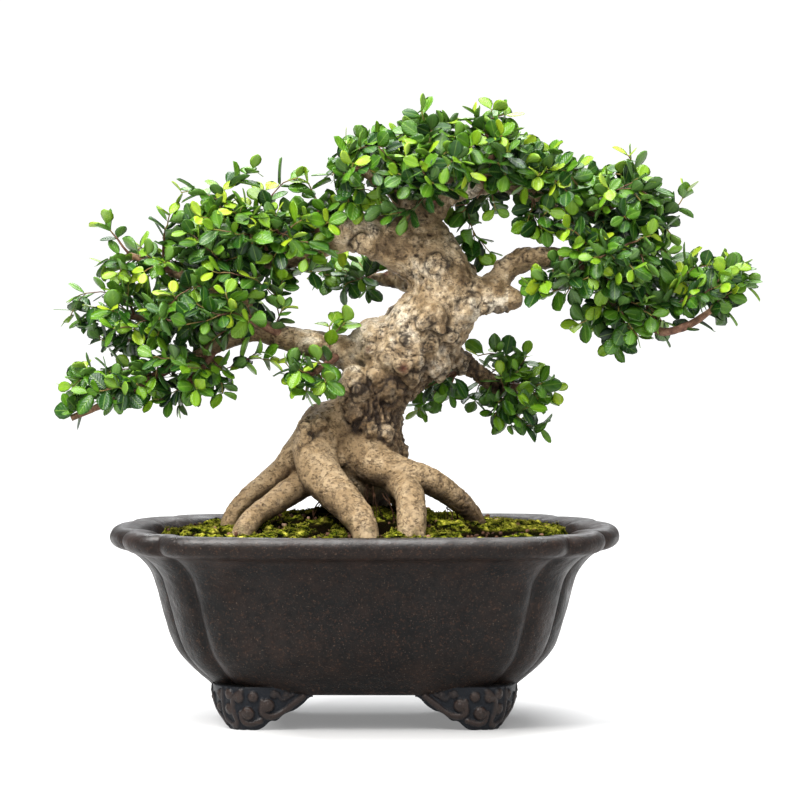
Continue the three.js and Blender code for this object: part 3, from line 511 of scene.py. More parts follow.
def soil_finish():
    f = Finish("soil", 0.95, 0)
    colour = f.ramp(f.noise(240, 6, 0.7), (0.3, "150e0a"), (0.5, "32231a"), (0.68, "5a4231"), (0.8, "8a6c52"))
    return f.done(colour, (f.cells(330), 1.2), (f.noise(700, 5, 0.7), 0.6))


def moss_finish():
    """Moss: yellow-green on its cushions and tips, brown where it is bare, with painted shade in its gaps."""
    f = Finish("moss", 0.95, 0)
    green = f.ramp(f.noise(130, 6, 0.75),
                   (0.42, "060802"), (0.48, "28350a"), (0.55, "828722"), (0.64, "dcd35a"))
    brown = f.ramp(f.noise(300, 5, 0.7), (0.36, "120b07"), (0.55, "3c291b"), (0.75, "6e5139"))
    colour = f.mix(f.span(f.value("bare"), 0.2, 0.8), green, brown)
    colour = f.layer(colour, f.value("tip"), 0.6, "ccc552")
    # Painted shade in the gaps between the cushions.
    colour = f.mix(f.span(f.value("low"), 0.2, 0.75, 0, 0.96), colour, "0d0a05")
    patches = f.patches(45, 4, 0.6, 0.40, 0.56, 0.65, 0)
    colour = f.mix(f.maths("MAXIMUM", patches, f.value("shade")), colour, "0c0d04")
    return f.done(colour, (f.noise(1500, 4, 0.7), 0.8), (f.cells(520), 0.9))


def pebble_finish():
    f = Finish("pebble", 0.75, 0.1)
    colour = f.ramp(f.value("tint"),
                    (0, "3b2a20"), (0.35, "6a4c3a"), (0.6, "a27a62"), (0.85, "c9a58c"), (1, "d8c9b6"))
    shade = f.ramp(f.noise(420, 4, 0.7), (0.3, 0.5), (0.7, 1))
    return f.done(f.mix(1, colour, shade, "MULTIPLY"), (f.noise(900, 4), 0.4))


def screen_finish():
    f = Finish("screen", 0.5, 0.5)
    return f.done(f.ramp(f.noise(300, 3), (0.35, "121313"), (0.7, "262828")), (f.noise(1500, 2), 0.05))


CLAY, BARK, TWIG, LEAF = clay_finish(), bark_finish(), twig_finish(), leaf_finish()
SOIL, MOSS, PEBBLE, SCREEN = soil_finish(), moss_finish(), pebble_finish(), screen_finish()


# Camera, light and floor

TARGET = Vector((-0.0036, 0.0, 0.2248))
CAMERA_PLACE = Vector((-0.0036, -5.987, 0.5346))
SENSOR_MM, LENS_MM, CLIP_END = 36.0, 385.5, 1000.0
WHITE = (1.0, 1.0, 1.0)
SKY_STRENGTH, FLOOR_RADIUS = 0.35, 600.0
LIGHTS_AIM = Vector((0.0, 0.0, 0.2))
LIGHTS = {  # place, size, power and colour
    "key": ((-1.0, -1.3, 2.4), 1.5, 130.0, (1.0, 0.985, 0.96)),
    "fill": ((0.6, -3.0, 2.3), 2.6, 54.0, WHITE),
    "top": ((0.1, 0.3, 2.7), 2.0, 80.0, WHITE),
    "back": ((0.0, 2.2, 2.2), 2.0, 60.0, (0.96, 0.98, 1.0)),
}


def aimed(name, data, place, aim):
    """A camera or light at a place, aimed at a point."""
    made = bpy.data.objects.new(name, data)
    made.location = place
    made.rotation_euler = (aim - Vector(place)).to_track_quat("-Z", "Y").to_euler()
    bpy.context.scene.collection.objects.link(made)
    return made


def studio():
    camera = bpy.data.cameras.new("camera")
    camera.sensor_width, camera.lens, camera.clip_end = SENSOR_MM, LENS_MM, CLIP_END
    bpy.context.scene.camera = aimed("camera", camera, CAMERA_PLACE, TARGET)
    for name, (place, size, power, colour) in LIGHTS.items():
        light = bpy.data.lights.new(name, "AREA")
        light.shape, light.size, light.energy, light.color = "DISK", size, power, colour
        aimed(name, light, place, LIGHTS_AIM)

    world = bpy.data.worlds.new("studio")
    bpy.context.scene.world = world
    world.use_nodes = True
    sky = world.node_tree.nodes["Background"].inputs
    sky["Color"].default_value = (*WHITE, 1.0)
    sky["Strength"].default_value = SKY_STRENGTH

    bpy.ops.mesh.primitive_circle_add(vertices=128, radius=FLOOR_RADIUS, fill_type="NGON")
    floor = bpy.context.object
    floor.name = "floor"
    paint = Finish("floor", 0.9, 0.1)
    # The floor glows more away from the pot, so that only a soft oval of shadow shows on it.
    oval = paint.stretched(1.0, 0.45, 1.0)
    away = paint.add("VectorMath", "Value", oval, settings=[("operation", "LENGTH")])
    close, far = paint.span(away, 0.085, 0.135, 0.22, 0.62), paint.span(away, 0.4, 2, 0, 0.3)
    paint.put(paint.inputs["Emission Color"], (*WHITE, 1.0))
    paint.put(paint.inputs["Emission Strength"], paint.maths("ADD", close, far))
    floor.data.materials.append(paint.done(paint.ramp(paint.noise(0.6, 2.0), (0.3, 0.37), (0.7, 0.38))))
    bpy.context.scene.view_settings.view_transform = "Standard"


# Pot

POT_HALF_LENGTH, POT_HALF_DEPTH = 178.6, 137.0
FRONT_NOTCH, END_NOTCH, CORNER_BULGE = (141.0, 101.0), (161.0, 52.0), 14.0
PLAN_FINENESS = 9
# The wall from the foot of the outside, over the rim, to the floor: [share of the plan, height]
WALL = rows_of("""
    0.545 24, 0.575 24.4, 0.597 26, 0.612 28.5, 0.643 33, 0.69 40.5, 0.735 50, 0.762 60, 0.782 71, 0.8 83,
    0.818 95, 0.836 104.6, 0.86 111, 0.896 117.2, 0.928 120.6, 0.957 121.9, 0.982 123.8, 0.997 127.4,
    0.999 131, 0.99 134.4, 0.968 136.6, 0.943 137, 0.912 136.2, 0.885 134.6, 0.866 131.6, 0.845 126,
    0.8 100, 0.7 56, 0.62 37, 0.6 35""")
WALL_STEP = 1.9
BASE_Z, FLOOR_Z = 24.0, 35.0
DRAIN_X, DRAIN_RADIUS, DRAIN_SIDES, DRAIN_MARGIN = 52.0, 11.0, 48, 8.0
GROOVE_Z, GROOVE_WIDTH = 119.0, 1.3


def lobe(start, end, bulge, squareness, steps):
    """A part of the plan between two notches, squarer or rounder, that bulges outward."""
    (x0, y0), (x1, y1) = start, end
    length = math.hypot(x1 - x0, y1 - y0)
    out = ((y1 - y0) / length, (x0 - x1) / length)
    points = []
    for k in range(steps):
        angle = math.pi * (1 - k / steps)
        side = math.copysign(abs(math.cos(angle)) ** (2 / squareness), math.cos(angle))
        rise = math.sin(angle) ** (2 / squareness) * bulge
        along = (1 + side) / 2
        points.append((x0 + (x1 - x0) * along + out[0] * rise, y0 + (y1 - y0) * along + out[1] * rise))
    return points


def pot_plan(fine):
    """The rim's outline, counter-clockwise from the front left notch. Its notches are softened."""
    (fx, fy), (ex, ey) = FRONT_NOTCH, END_NOTCH
    half = lobe((-fx, -fy), (fx, -fy), POT_HALF_DEPTH - fy, 3.2, 8 * fine)
    half += lobe((fx, -fy), (ex, -ey), CORNER_BULGE, 2.0, 3 * fine)
    half += lobe((ex, -ey), (ex, ey), POT_HALF_LENGTH - ex, 2.4, 4 * fine)
    half += lobe((ex, ey), (fx, fy), CORNER_BULGE, 2.0, 3 * fine)
    plan = np.array(half + [(-x, -y) for x, y in half])
    ring = np.vstack([plan, plan[:1]])
    run = run_along(ring)
    even = np.linspace(0, run[-1], 36 * fine + 1)[:-1]
    plan = np.stack([np.interp(even, run, ring[:, c]) for c in (0, 1)], 1)
    return 0.5 * plan + 0.25 * (np.roll(plan, 1, 0) + np.roll(plan, -1, 0))


PLAN = pot_plan(PLAN_FINENESS)


def bowl():
    """The pot's wall and floor as one closed mesh, how worn each point is, and how much it shines, in
    specular and in painted sheen.
    """
    rows = spline([[share * 100, 0.0, z] for share, z in WALL], WALL_STEP)
    shares, heights = rows[:, 0] / 100, rows[:, 2]
    xy = PLAN[None] * shares[:, None, None]
    z = np.broadcast_to(heights[:, None, None], (len(rows), len(PLAN), 1))
    points = np.concatenate([xy, z], 2).reshape(-1, 3)
    hand = fbm(points * 0.018, 3, 5) * 0.9 + fbm(points * 0.09, 2, 9) * 0.4
    groove = bell(points[:, 2] - GROOVE_Z, 0.8 * noise(points * 0.03, 8), GROOVE_WIDTH)
    hand -= 0.8 * groove * (np.abs(points[:, 1]) > 60) * (0.4 + 0.6 * noise(points * 0.04, 6) ** 2)
    points = points + unit(points * (1, 1, 0)) * hand[:, None]
    points[:, 2] += 0.5 * fbm(points * 0.02, 2, 12) * ease(60, 120, points[:, 2])
    points, faces = fanned_rows(points, len(PLAN), BASE_Z, FLOOR_Z)
    worn = ease(112, 126, points[:, 2]) * 0.10 + np.abs(fbm(points * 0.05, 3, 21)) * 0.35
    # The rim's top shines: more specular, and a painted sheen in its colour.
    polish = ease(129, 136, points[:, 2]) * (0.5 + 0.6 * np.abs(noise(points * 0.06, 24)))
    polish[:-2] *= ease(0.925, 0.965, np.repeat(shares, len(PLAN)))
    return points, faces, dict(worn=np.clip(worn, 0, 1), polish=np.clip(polish, 0, 1))


# A front left foot, as in the part: [x, y, underside z], with its sole at z 0
FOOT_PATH = rows_of("""
    -35 -80 23, -49 -82 13.5, -62 -84 6.5, -74 -85 0, -89 -82 0, -97 -74 0, -104 -60 7, -107 -42 15,
    -106 -26 23""")
FOOT_TOP, FOOT_THICK, FOOT_LEAN, FOOT_STEP, FOOT_LEVELS = 30.0, 15.0, 0.17, 0.8, 40
# Cloud scrolls in relief: round bosses [place along the path, height, radius, rise] ...
BOSSES = rows_of("""
    2.3 17.5 5 3.6, 3.1 23.5 4 2.8, 3.42 12 5 4.2, 3.95 23 4.2 2.8, 4.7 25 4.2 3, 4.85 14.5 4.4 3.2,
    5.6 24 3.8 2.6, 5.85 15.5 3.6 2.4, 6.5 21 3.8 2.4, 7.2 24.6 3 1.8, 1.25 24.5 3 1.8, 2 25.2 3.2 2""")
# ... and bands, each a list of [place along the path, height] with the band's half width and rise
BANDS = [
    (rows_of("2.75 20, 2.8 12.5, 2.2 9.6, 1.6 12, 1 18, 0.5 23.5"), 2.5, 2.2),
    (rows_of("3.9 12, 3.8 6.5, 3.3 4.4, 2.85 6.5"), 2.3, 2.0),
    (rows_of("3.85 27, 4.25 21, 4.3 12, 4.05 5, 4.6 3"), 2.6, 1.9),
    (rows_of("5.2 27, 5.3 18, 5.2 8, 4.8 3.6"), 2.0, 1.5),
    (rows_of("7.6 27, 7 19, 6.3 14, 5.8 8.5, 5.2 4"), 2.2, 1.6),
    (rows_of("1.9 26, 1.6 21.5, 1 25"), 1.5, 1.2),
]


def dome(d):
    """A round top, 1 in the middle and 0 from d = 1 on."""
    return np.sqrt(np.clip(1 - d * d, 0, 1))


def carving(run, z, bosses, bands):
    """Height of the scrolls at a distance along the foot's path, for the heights z."""
    height = np.zeros(len(z))
    for at, level, radius, rise in bosses:
        d = np.hypot(run - at, z - level) / radius
        height = np.maximum(height, rise * dome(d) - 0.5 * bell(d, 0.45, 0.14) * (d < 1))
    for line, half, rise in bands:
        d = np.min(np.hypot(run - line[None, :, 0], z[:, None] - line[None, :, 2]), 1) / half
        height = np.maximum(height, rise * dome(d))
    return height


def foot():
    """One foot as a closed strip round the pot's corner, and the height of its carving."""
    path = spline([[x, y, 0.0, low, k] for k, (x, y, low) in enumerate(FOOT_PATH)], FOOT_STEP)
    run, path, lows, places = run_along(path[:, :3]), path[:, :3], path[:, 3], path[:, 4]

    def run_of(place):
        return np.interp(place, places, run)

    bosses = [(run_of(at), *rest) for at, *rest in BOSSES]
    bands = [(spline([[run_of(at), 0.0, z] for at, z in line], 1.0), *rest) for line, *rest in BANDS]
    tangent = unit(np.gradient(path, axis=0))
    out = np.stack([-tangent[:, 1], tangent[:, 0], np.zeros(len(path))], 1)
    columns, reliefs = [], []
    for at, way, low, far in zip(path, out, lows, run):
        z = np.linspace(max(low + 0.3 * math.sin(far * 0.7), 0.0), FOOT_TOP, FOOT_LEVELS)
        fade = ease(0, 4, far) * ease(0, 4, run[-1] - far)
        carve = carving(far, z, bosses, bands) * fade * np.clip((z - z[0]) / 1.2, 0.25, 1)
        lean = (FOOT_TOP - z) * FOOT_LEAN + 1.6
        belly = 0.8 * np.sin(np.pi * (z - z[0]) / (FOOT_TOP - z[0]))
        face = at + way * (carve + belly - lean)[:, None]
        face[:, 2] = z
        back = np.array([at - way * FOOT_THICK] * 2)
        back[:, 2] = FOOT_TOP, z[0]
        columns.append(np.vstack([face, back]))
        reliefs.append(np.concatenate([carve, [0.0, 0.0]]))
    return np.concatenate(columns), capped_rows(len(path), FOOT_LEVELS + 2), np.concatenate(reliefs)


def make_pot():
    points, faces, values = bowl()
    pot = piece("pot_body", points, faces, CLAY, sunk=np.zeros(len(points)), **values)
    one, one_faces, relief = foot()
    raised = np.clip(relief / 2.0, 0, 1)
    feet, holes = Heap(), Heap()
    for mirror in ((1, 1, 1), (-1, 1, 1), (1, -1, 1), (-1, -1, 1)):
        mirrored = one * mirror
        rough = fbm(mirrored * 0.25, 3, 31) * 0.25
        mirrored[:, 2] += np.where(mirrored[:, 2] > 1.0, rough, 0.0)
        # The bosses get a little painted sheen along with their wear.
        feet.add(mirrored, facing_out(mirrored, one_faces), worn=0.42 * raised, sunk=0.9 * (1 - raised),
                 polish=0.3 * raised)
    for x in (-DRAIN_X, DRAIN_X):
        path = [[x, 0.0, BASE_Z - DRAIN_MARGIN], [x, 0.0, FLOOR_Z + DRAIN_MARGIN]]
        holes.add(*tube(path, [DRAIN_RADIUS] * 2, DRAIN_SIDES), worn=0.0, sunk=0.0, polish=0.0)
    others = feet.piece("feet", CLAY), holes.piece("holes", CLAY)
    for other, operation in zip(others, ("UNION", "DIFFERENCE")):
        modify(pot, "BOOLEAN", object=other, operation=operation, solver="MANIFOLD")
    apply_modifiers(pot)
    for other in others:
        bpy.data.objects.remove(other)
    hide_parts("pot")
    return pot


# Soil and moss

SOIL_EDGE_Z, SOIL_CROWN, SOIL_RINGS = 127.0, 15.0, 46
SOIL_GAP, CLEARANCE = 0.008, 0.35  # to the wall, as a share of the plan, and to the floor
SOIL_SIDE = ((0.6, FLOOR_Z + CLEARANCE), (0.70, 56.0), (0.80, 100.0), (0.838, SOIL_EDGE_Z - 1))
SOIL_TOP = (0.835, 0.02)  # from the wall to the middle, as shares of the plan
MOSS_EDGE, MOSS_MIDDLE, MOSS_RINGS = 0.80, 0.004, 92
MOSS_LEAST = 4.5 * 0.45
SHOOT_TRIES, SHOOTS, BLADES = 9000, 3600, 5
SHOOT_HALVES = (141, 108)
GRIT, PEBBLE_EVERY = 900, 19


def soil_height(x, y):
    out = np.minimum(1, np.hypot(x / 150, y / 112))
    waves = 1.1 * np.sin(x / 13 + 1) * np.cos(y / 11) + 0.8 * np.sin(x / 7 - y / 9)
    return SOIL_EDGE_Z + SOIL_CROWN * (1 - smooth(out)) + waves * (1 - out ** 4)


def bare_patches(x, y):
    """Where the moss is thin and soil shows, 0 to 1."""
    flat = flat_at(x, y)
    return ease(0.0, 0.3, fbm(flat * 0.035 + 3, 3, 77) + 0.25 * fbm(flat * 0.15, 2, 5))


def moss_height(x, y):
    """The mat's top: rounded cushions of moss, lower where it is thin."""
    flat = flat_at(x, y)
    warped = flat + 2.5 * flat_at(noise(flat * 0.06, 3), noise(flat * 0.06, 4))
    near, _ = cells(warped * 0.085, 41)
    small, _ = cells(warped * 0.24, 43)
    cushions = 4.6 * dome(near / 0.85) + 2.6 * (1 - np.clip(small, 0, 1))
    thick = (MOSS_LEAST + cushions) * (1 - 0.55 * bare_patches(x, y))
    return soil_height(x, y) + 1.2 + thick + 0.7 * fbm(flat * 0.9, 2, 47)


def moss_gap_shade(x, y):
    """1 in the gaps between the cushions, 0 on them: where painted shade darkens the moss."""
    return 1 - ease(4.5, 8.6, moss_height(x, y) - soil_height(x, y))


def moss_shade(x, y):
    """1 under the arches of the roots, where the moss is dark, falling to 0 round them."""
    return 0.85 * np.exp(-((x / 62) ** 2 + ((y - 4) / 42) ** 2) ** 2)


def make_soil():
    rows = [np.column_stack([PLAN * (share - SOIL_GAP), np.full(len(PLAN), z)]) for share, z in SOIL_SIDE]
    for share in np.linspace(SOIL_TOP[0] - SOIL_GAP, SOIL_TOP[1], SOIL_RINGS):
        x, y = (PLAN * share).T
        flat = flat_at(x, y)
        crumbs, _ = cells(flat * 0.3, 61)
        z = soil_height(x, y) - 0.6 + 0.9 * (1 - np.clip(crumbs, 0, 1)) + 0.5 * fbm(flat * 0.5, 3, 63)
        rows.append(np.column_stack([x, y, z]))
    bed = fanned_rows(np.concatenate(rows), len(PLAN), SOIL_SIDE[0][1], soil_height(0.0, 0.0))
    soil = piece("soil_bed", *bed, SOIL)
    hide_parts("soil")
    return soil


def make_moss(rng):
    """The moss mat with a fringe of tiny shoots on its cushions."""
    angle = np.arange(len(PLAN)) * TAU / len(PLAN)
    wander = 0.03 * np.sin(angle * 7 + 1) + 0.02 * np.sin(angle * 17) + 0.012 * np.sin(angle * 41)

    def ring(share):
        return (PLAN * (share + wander * (share / MOSS_EDGE) ** 4 * 0.6)[:, None]).T

    rows = []
    for share in np.linspace(MOSS_MIDDLE, MOSS_EDGE, MOSS_RINGS):
        x, y = ring(share)
        edge = ease(MOSS_EDGE - 0.03, MOSS_EDGE, share)
        rows.append(np.column_stack([x, y, lerp(moss_height(x, y), soil_height(x, y) + 0.2, edge)]))
    for share in (MOSS_EDGE, 0.5, 0.2, MOSS_MIDDLE):
        x, y = ring(share)
        rows.append(np.column_stack([x, y, soil_height(x, y) - 1.2]))
    points = np.concatenate(rows)
    x, y = points[:, 0], points[:, 1]
    heap = Heap()
    # low is the painted shade of the gaps.
    heap.add(points, facing_out(points, capped_rows(len(rows), len(PLAN))), bare=bare_patches(x, y), tip=0.0,
             shade=moss_shade(x, y), low=moss_gap_shade(x, y))
    add_shoots(heap, rng)
    moss = heap.piece("moss_mat", MOSS)
    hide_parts("moss")
    return moss


def add_shoots(heap, rng):
    """Tiny shoots on the moss, each a rosette of slim four-faced blades."""
    spots = rng.uniform(-1, 1, (SHOOT_TRIES, 2)) * (POT_HALF_LENGTH * MOSS_EDGE, POT_HALF_DEPTH * MOSS_EDGE)
    x, y = spots.T
    mossy = bare_patches(x, y) < rng.uniform(0.1, 1.0, SHOOT_TRIES)
    spots = spots[mossy & (np.hypot(x / SHOOT_HALVES[0], y / SHOOT_HALVES[1]) < 1)][:SHOOTS]
    x, y = spots.T
    many = len(spots), BLADES
    size = rng.uniform(1.0, 2.2, (len(spots), 1))
    swing = rng.uniform(0, TAU, (len(spots), 1)) + np.arange(BLADES) * TAU / BLADES
    swing = swing + rng.uniform(-0.3, 0.3, many)
    out = np.stack([np.cos(swing), np.sin(swing), np.zeros(many)], -1)
    aside = np.stack([-out[..., 1], out[..., 0], out[..., 2]], -1)
    base = np.column_stack([spots, moss_height(x, y) - 0.5])[:, None] + np.zeros((1, BLADES, 1))
    rise = size * rng.uniform(0.6, 1.3, many)
    tip = base + out * 0.75 * size[..., None] + rise[..., None] * UP
    width = 0.28 * size[..., None]
    points = np.stack([base + aside * width, base - aside * width, base + 0.5 * UP, tip], 2).reshape(-1, 3)
    starts = np.arange(len(spots) * BLADES)[:, None, None] * 4
    faces = (starts + np.array([[0, 2, 3], [2, 1, 3], [1, 0, 3], [0, 1, 2]])).reshape(-1, 3)
    # low is painted shade: blades in the gaps go dark.
    heap.add(points, faces.tolist(), bare=0.0, low=0.9 * np.repeat(moss_gap_shade(x, y), 4 * BLADES),
             tip=np.tile([0.0, 0.0, 0.2, 1.0], len(spots) * BLADES), shade=moss_shade(*points.T[:2]))


def make_grit(rng):
    """Crumbs of soil and small pebbles that lie on the bed."""
    heap = Heap()
    unit_ball, ball_faces = ball(4, 6)
    turn = rng.integers(len(PLAN), size=GRIT)
    reach = np.sqrt(rng.uniform(0.0, 1.0, GRIT))
    spots = PLAN[turn] * lerp(0.1, 0.81, reach)[:, None]
    x, y = spots.T
    spots = np.column_stack([spots, np.where(reach < 0.96, moss_height(x, y), soil_height(x, y))])
    is_pebble = np.arange(GRIT) % PEBBLE_EVERY == 0
    kept = is_pebble | (reach > 0.95) | (bare_patches(x, y) > rng.uniform(0.2, 0.9, GRIT))
    for k in np.flatnonzero(kept):
        sizes, tints = ((1.4, 2.8), (0.3, 0.85)) if is_pebble[k] else ((0.7, 2.2), (0.0, 0.45))
        size = rng.uniform(*sizes)
        shape = unit_ball * rng.uniform(0.7, 1.15, 3) * size
        shape = shape + 0.35 * size * noises(shape / size * 1.3 + k, range(3))
        cos, sin = math.cos(k), math.sin(k)
        shape = shape @ np.array([[cos, -sin, 0], [sin, cos, 0], [0, 0, 1]]).T
        heap.add(shape + (spots[k] + 0.25 * size * UP), ball_faces, tint=rng.uniform(*tints))
    grit = heap.piece("pebbles_and_crumbs", PEBBLE)
    return grit


# Wood: stations are [x, y, z, radius]

TRUNK = rows_of("""
    -2 4 165 20, -2 4 184 31, -3 4 203 28.5, 0 3 221 24.5, 9 2 239 24.5, 28 0 259 27.5, 44 -2 276 28.5,
    55 -2 293 25.5, 53 0 310 23, 44 2 327 21.5, 35 3 340 19.5, 29 3 351 14""")
ROOTS = tables("""
front: -22 -4 208 17, -33 -18 194 16.5, -31 -38 176 14.5, -19 -56 163 13, -6 -73 150 11.5, 1 -85 138 9.5,
2 -92 112 8

leftBack: -28 2 210 14.5, -46 -3 189 10, -61 -9 174 7.6, -79 -18 160 6.6, -92 -24 146 6, -100 -30 118 5.6

leftFront: -26 -2 176 12, -45 -18 166 9.8, -63 -37 155 8.2, -76 -54 146.5 8, -84 -66 136 7.6,
-88 -73 114 6.8

right: -5 -12 190 16, 11 -26 179 14, 29 -34 175 10.6, 47 -33 169 9.4, 65 -28 156.5 8, 78 -20 142 6.4,
85 -14 114 5

rightFront: 24 -34 168 9.6, 31 -54 162 10.5, 33 -69 149.5 10.1, 33 -81 136 9.6, 32 -88 112 8.6

inner: 2 6 186 13, 6 10 168 9, 9 14 152 8, 12 17 138 7, 13 18 116 6

backRight: 10 10 200 16, 16 26 184 13, 22 44 168 10.5, 27 62 150 8.6, 31 75 130 7.6, 32 80 112 6.8

backLeft: -14 12 200 16, -32 28 184 12.5, -49 47 166 10, -62 66 148 8, -68 78 128 7, -70 84 112 6.2

back: 0 20 196 16, -2 42 178 12, -5 64 160 9.6, -8 83 140 8, -9 94 112 6.8
""")
LIMBS = tables("""
highLeft: 40 0 325 20, 26 -3 333 19, 10 -6 339 16.5, -4 -8 343 13.5, -15 -10 338 9.5, -28 -12 332 7,
-46 -12 325 5.2, -66 -9 321 4

backLeft: -14 -6 338 7, -26 12 333 5.5, -44 30 327 4.6, -64 42 318 3.6

lowLeft: 14 -2 248 15, -10 -8 257 11.5, -28 -14 263 9.8, -41 -18 267 9.2, -55 -20 269 8.6, -70 -19 274 7.6,
-82 -16 286 6, -92 -13 303 4.4

knee: 22 0 260 18, 9 -5 268 14.5, 2 -7 269 12

lowOuter: -72 -19 274 7, -86 -23 270 5.6, -104 -27 263 4.8, -122 -30 254 4

farLeft: -83 -15 289 5.4, -98 -8 298 4.9, -116 -1 308 4.3, -134 3 314 3.6

crownRight: 35 3 340 14.5, 40 6 355 11, 47 8 365 9.4, 60 10 371 8.4, 78 9 374 7.4, 94 7 376 6, 112 4 372 5,
130 3 360 4.2, 146 4 350 3.5

crownLeft: 37 2 350 9, 26 -6 366 6.5, 10 -12 378 4.6, -4 -14 387 3.5

crownUp: 50 6 360 8, 54 12 378 5.4, 50 16 396 3.6

crownBack: 48 8 358 8, 54 32 370 5.6, 62 54 380 4

right: 52 -2 296 21, 72 -4 298 14, 86 -4 300 11, 97 -1 313 7.6, 108 0 322 8.2, 123 -3 325 7.4,
145 -4 322 6.2, 165 -2 314 5, 186 0 304 4.2, 200 1 295 3.6

rightStub: 80 -9 297 12, 94 -11 297 10.4, 103 -11 296 8

rightBack: 122 -4 324 6.5, 136 16 326 5, 150 36 323 3.8

lowRight: 48 8 264 10, 68 24 251 6.8, 86 36 238 4.8, 98 41 230 3.8

back: 48 10 294 13, 40 32 301 8, 26 50 306 5.4, 8 64 307 4
""")
# Burls on the front, found by looking along the view: [x, z, radius, how much of it stands out]
FRONT_BURLS = rows_of("""
    27 265 6.2 0.95, 17 271 7.2 0.75, 52 266 10 0.8, 48 279 5.6 0.7, 48 299 11 0.7, 72 304 9.5 0.65,
    88 298 6.2 0.6, -35 224 9 0.75, -41 213 5.5 0.6, -6 256 11 0.75, 4 276 4.8 0.8, 48 323 4.4 0.5,
    50 335 6.8 0.45, 0 350 8 0.6, -12 340 8.6 0.6, 16 330 4.4 0.5, 18 248 7.8 0.65, 95 302 5.6 0.6,
    106 293 4.6 0.7, 107 300 4.4 0.7, 68 269 8.6 0.6, -16 198 3.8 0.9, 5 222 5.4 0.9, 15 218 6.4 0.8,
    33 256 7 0.6, 38 268 5 0.7, 60 285 5 0.5, 86 306 5 0.6, 30 282 4 0.5, -2 246 6 0.5, 8 258 5 0.6,
    62 252 6 0.6""")
RED_BURLS = ((4, 276), (27, 265), (16, 330))
VIEW_SLOPE = -0.0665  # the view falls this much for each unit along +Y
VIEW_FROM_Y, VIEW_MEETS_Y = -140.0, -25.0  # where the looks start, and where x and z are read
# Scattered burls: [limb, first and last of its points, number, largest radius]
BURL_LINES = (("trunk", 30, None, 46, 8.0), ("right", 0, 16, 10, 4.6), ("highLeft", 6, 24, 14, 5.2),
              ("lowLeft", 6, 26, 12, 4.4))
BURL_AWAY = 70  # how far from the limb the search for a scattered burl's place starts
ROOT_FILLET, LIMB_FILLET, BURL_FILLET = 2.0, 4.5, 3.5
CHAIN_STEP, CHAIN_MARGIN, FAR = 6.0, 14.0, 60.0
ROUGH_STEP, ROUGH_SIDES, ROUGH_BALL = 4.0, 20, (8, 14)
VOXEL_MM = 1.2
DRAWS, DRAWN_MOST = 3, 2.5  # how often the skin is drawn onto the smooth wood, and how far at once
WOOD_KEPT = 0.76  # share of the skin's faces kept where they are flat enough
KNOTS, PORES = 560, 420


class Chain:
    """A limb as a row of round cones, for distances to its surface."""

    def __init__(self, stations):
        self.stations = stations
        rows = spline(stations, CHAIN_STEP)
        self.cones = list(zip(rows[:-1, :3], rows[1:, :3], rows[:-1, 3], rows[1:, 3]))
        self.low = rows[:, :3].min(0) - rows[:, 3].max() - CHAIN_MARGIN
        self.high = rows[:, :3].max(0) + rows[:, 3].max() + CHAIN_MARGIN

    def distance(self, points):
        """Distance of each point from the surface, negative inside. Points a long way off get FAR."""
        result = np.full(len(points), FAR)
        near = np.all((points > self.low) & (points < self.high), axis=1)
        p, best = points[near], result[near]
        for a, b, r0, r1 in self.cones:
            line = b - a
            share = np.clip((p - a) @ line / (line @ line), 0, 1)
            away = np.linalg.norm(p - a - share[:, None] * line, axis=1)
            best = np.minimum(best, away - lerp(r0, r1, share))
        result[near] = best
        return result


TRUNK_CHAIN = Chain(TRUNK)
ROOT_CHAINS = [Chain(stations) for (stations,) in ROOTS.values()]
LIMB_CHAINS = [Chain(stations) for (stations,) in LIMBS.values()]


def smooth_min(a, b, reach):
    """The smaller of two distances, with a fillet where they are about the same."""
    h = np.maximum(reach - np.abs(a - b), 0) / reach
    return np.minimum(a, b) - h * h * reach * 0.25


def wood_distance(points):
    """Distance to the wood without its burls: small fillets between roots, larger ones where limbs join."""
    roots = np.full(len(points), FAR)
    for chain in ROOT_CHAINS:
        roots = smooth_min(roots, chain.distance(points), ROOT_FILLET)
    total = TRUNK_CHAIN.distance(points)
    for chain in LIMB_CHAINS:
        total = smooth_min(total, chain.distance(points), LIMB_FILLET)
    return smooth_min(total, roots, ROOT_FILLET)


def wood_normal(points):
    """Which way is out of the wood, from how the distance changes about each point."""
    step = 0.6
    slopes = [wood_distance(points + step * axis) - wood_distance(points - step * axis) for axis in np.eye(3)]
    return unit(np.stack(slopes, 1))


def march(origins, ways, steps=50):
    """Where rays from origins along ways meet the wood, and whether they do."""
    travelled = np.zeros(len(origins))
    for _ in range(steps):
        gap = wood_distance(origins + ways * travelled[:, None])
        travelled += np.clip(gap, -3, 12) * 0.9
    places = origins + ways * travelled[:, None]
    return places, np.abs(wood_distance(places)) < 1.0


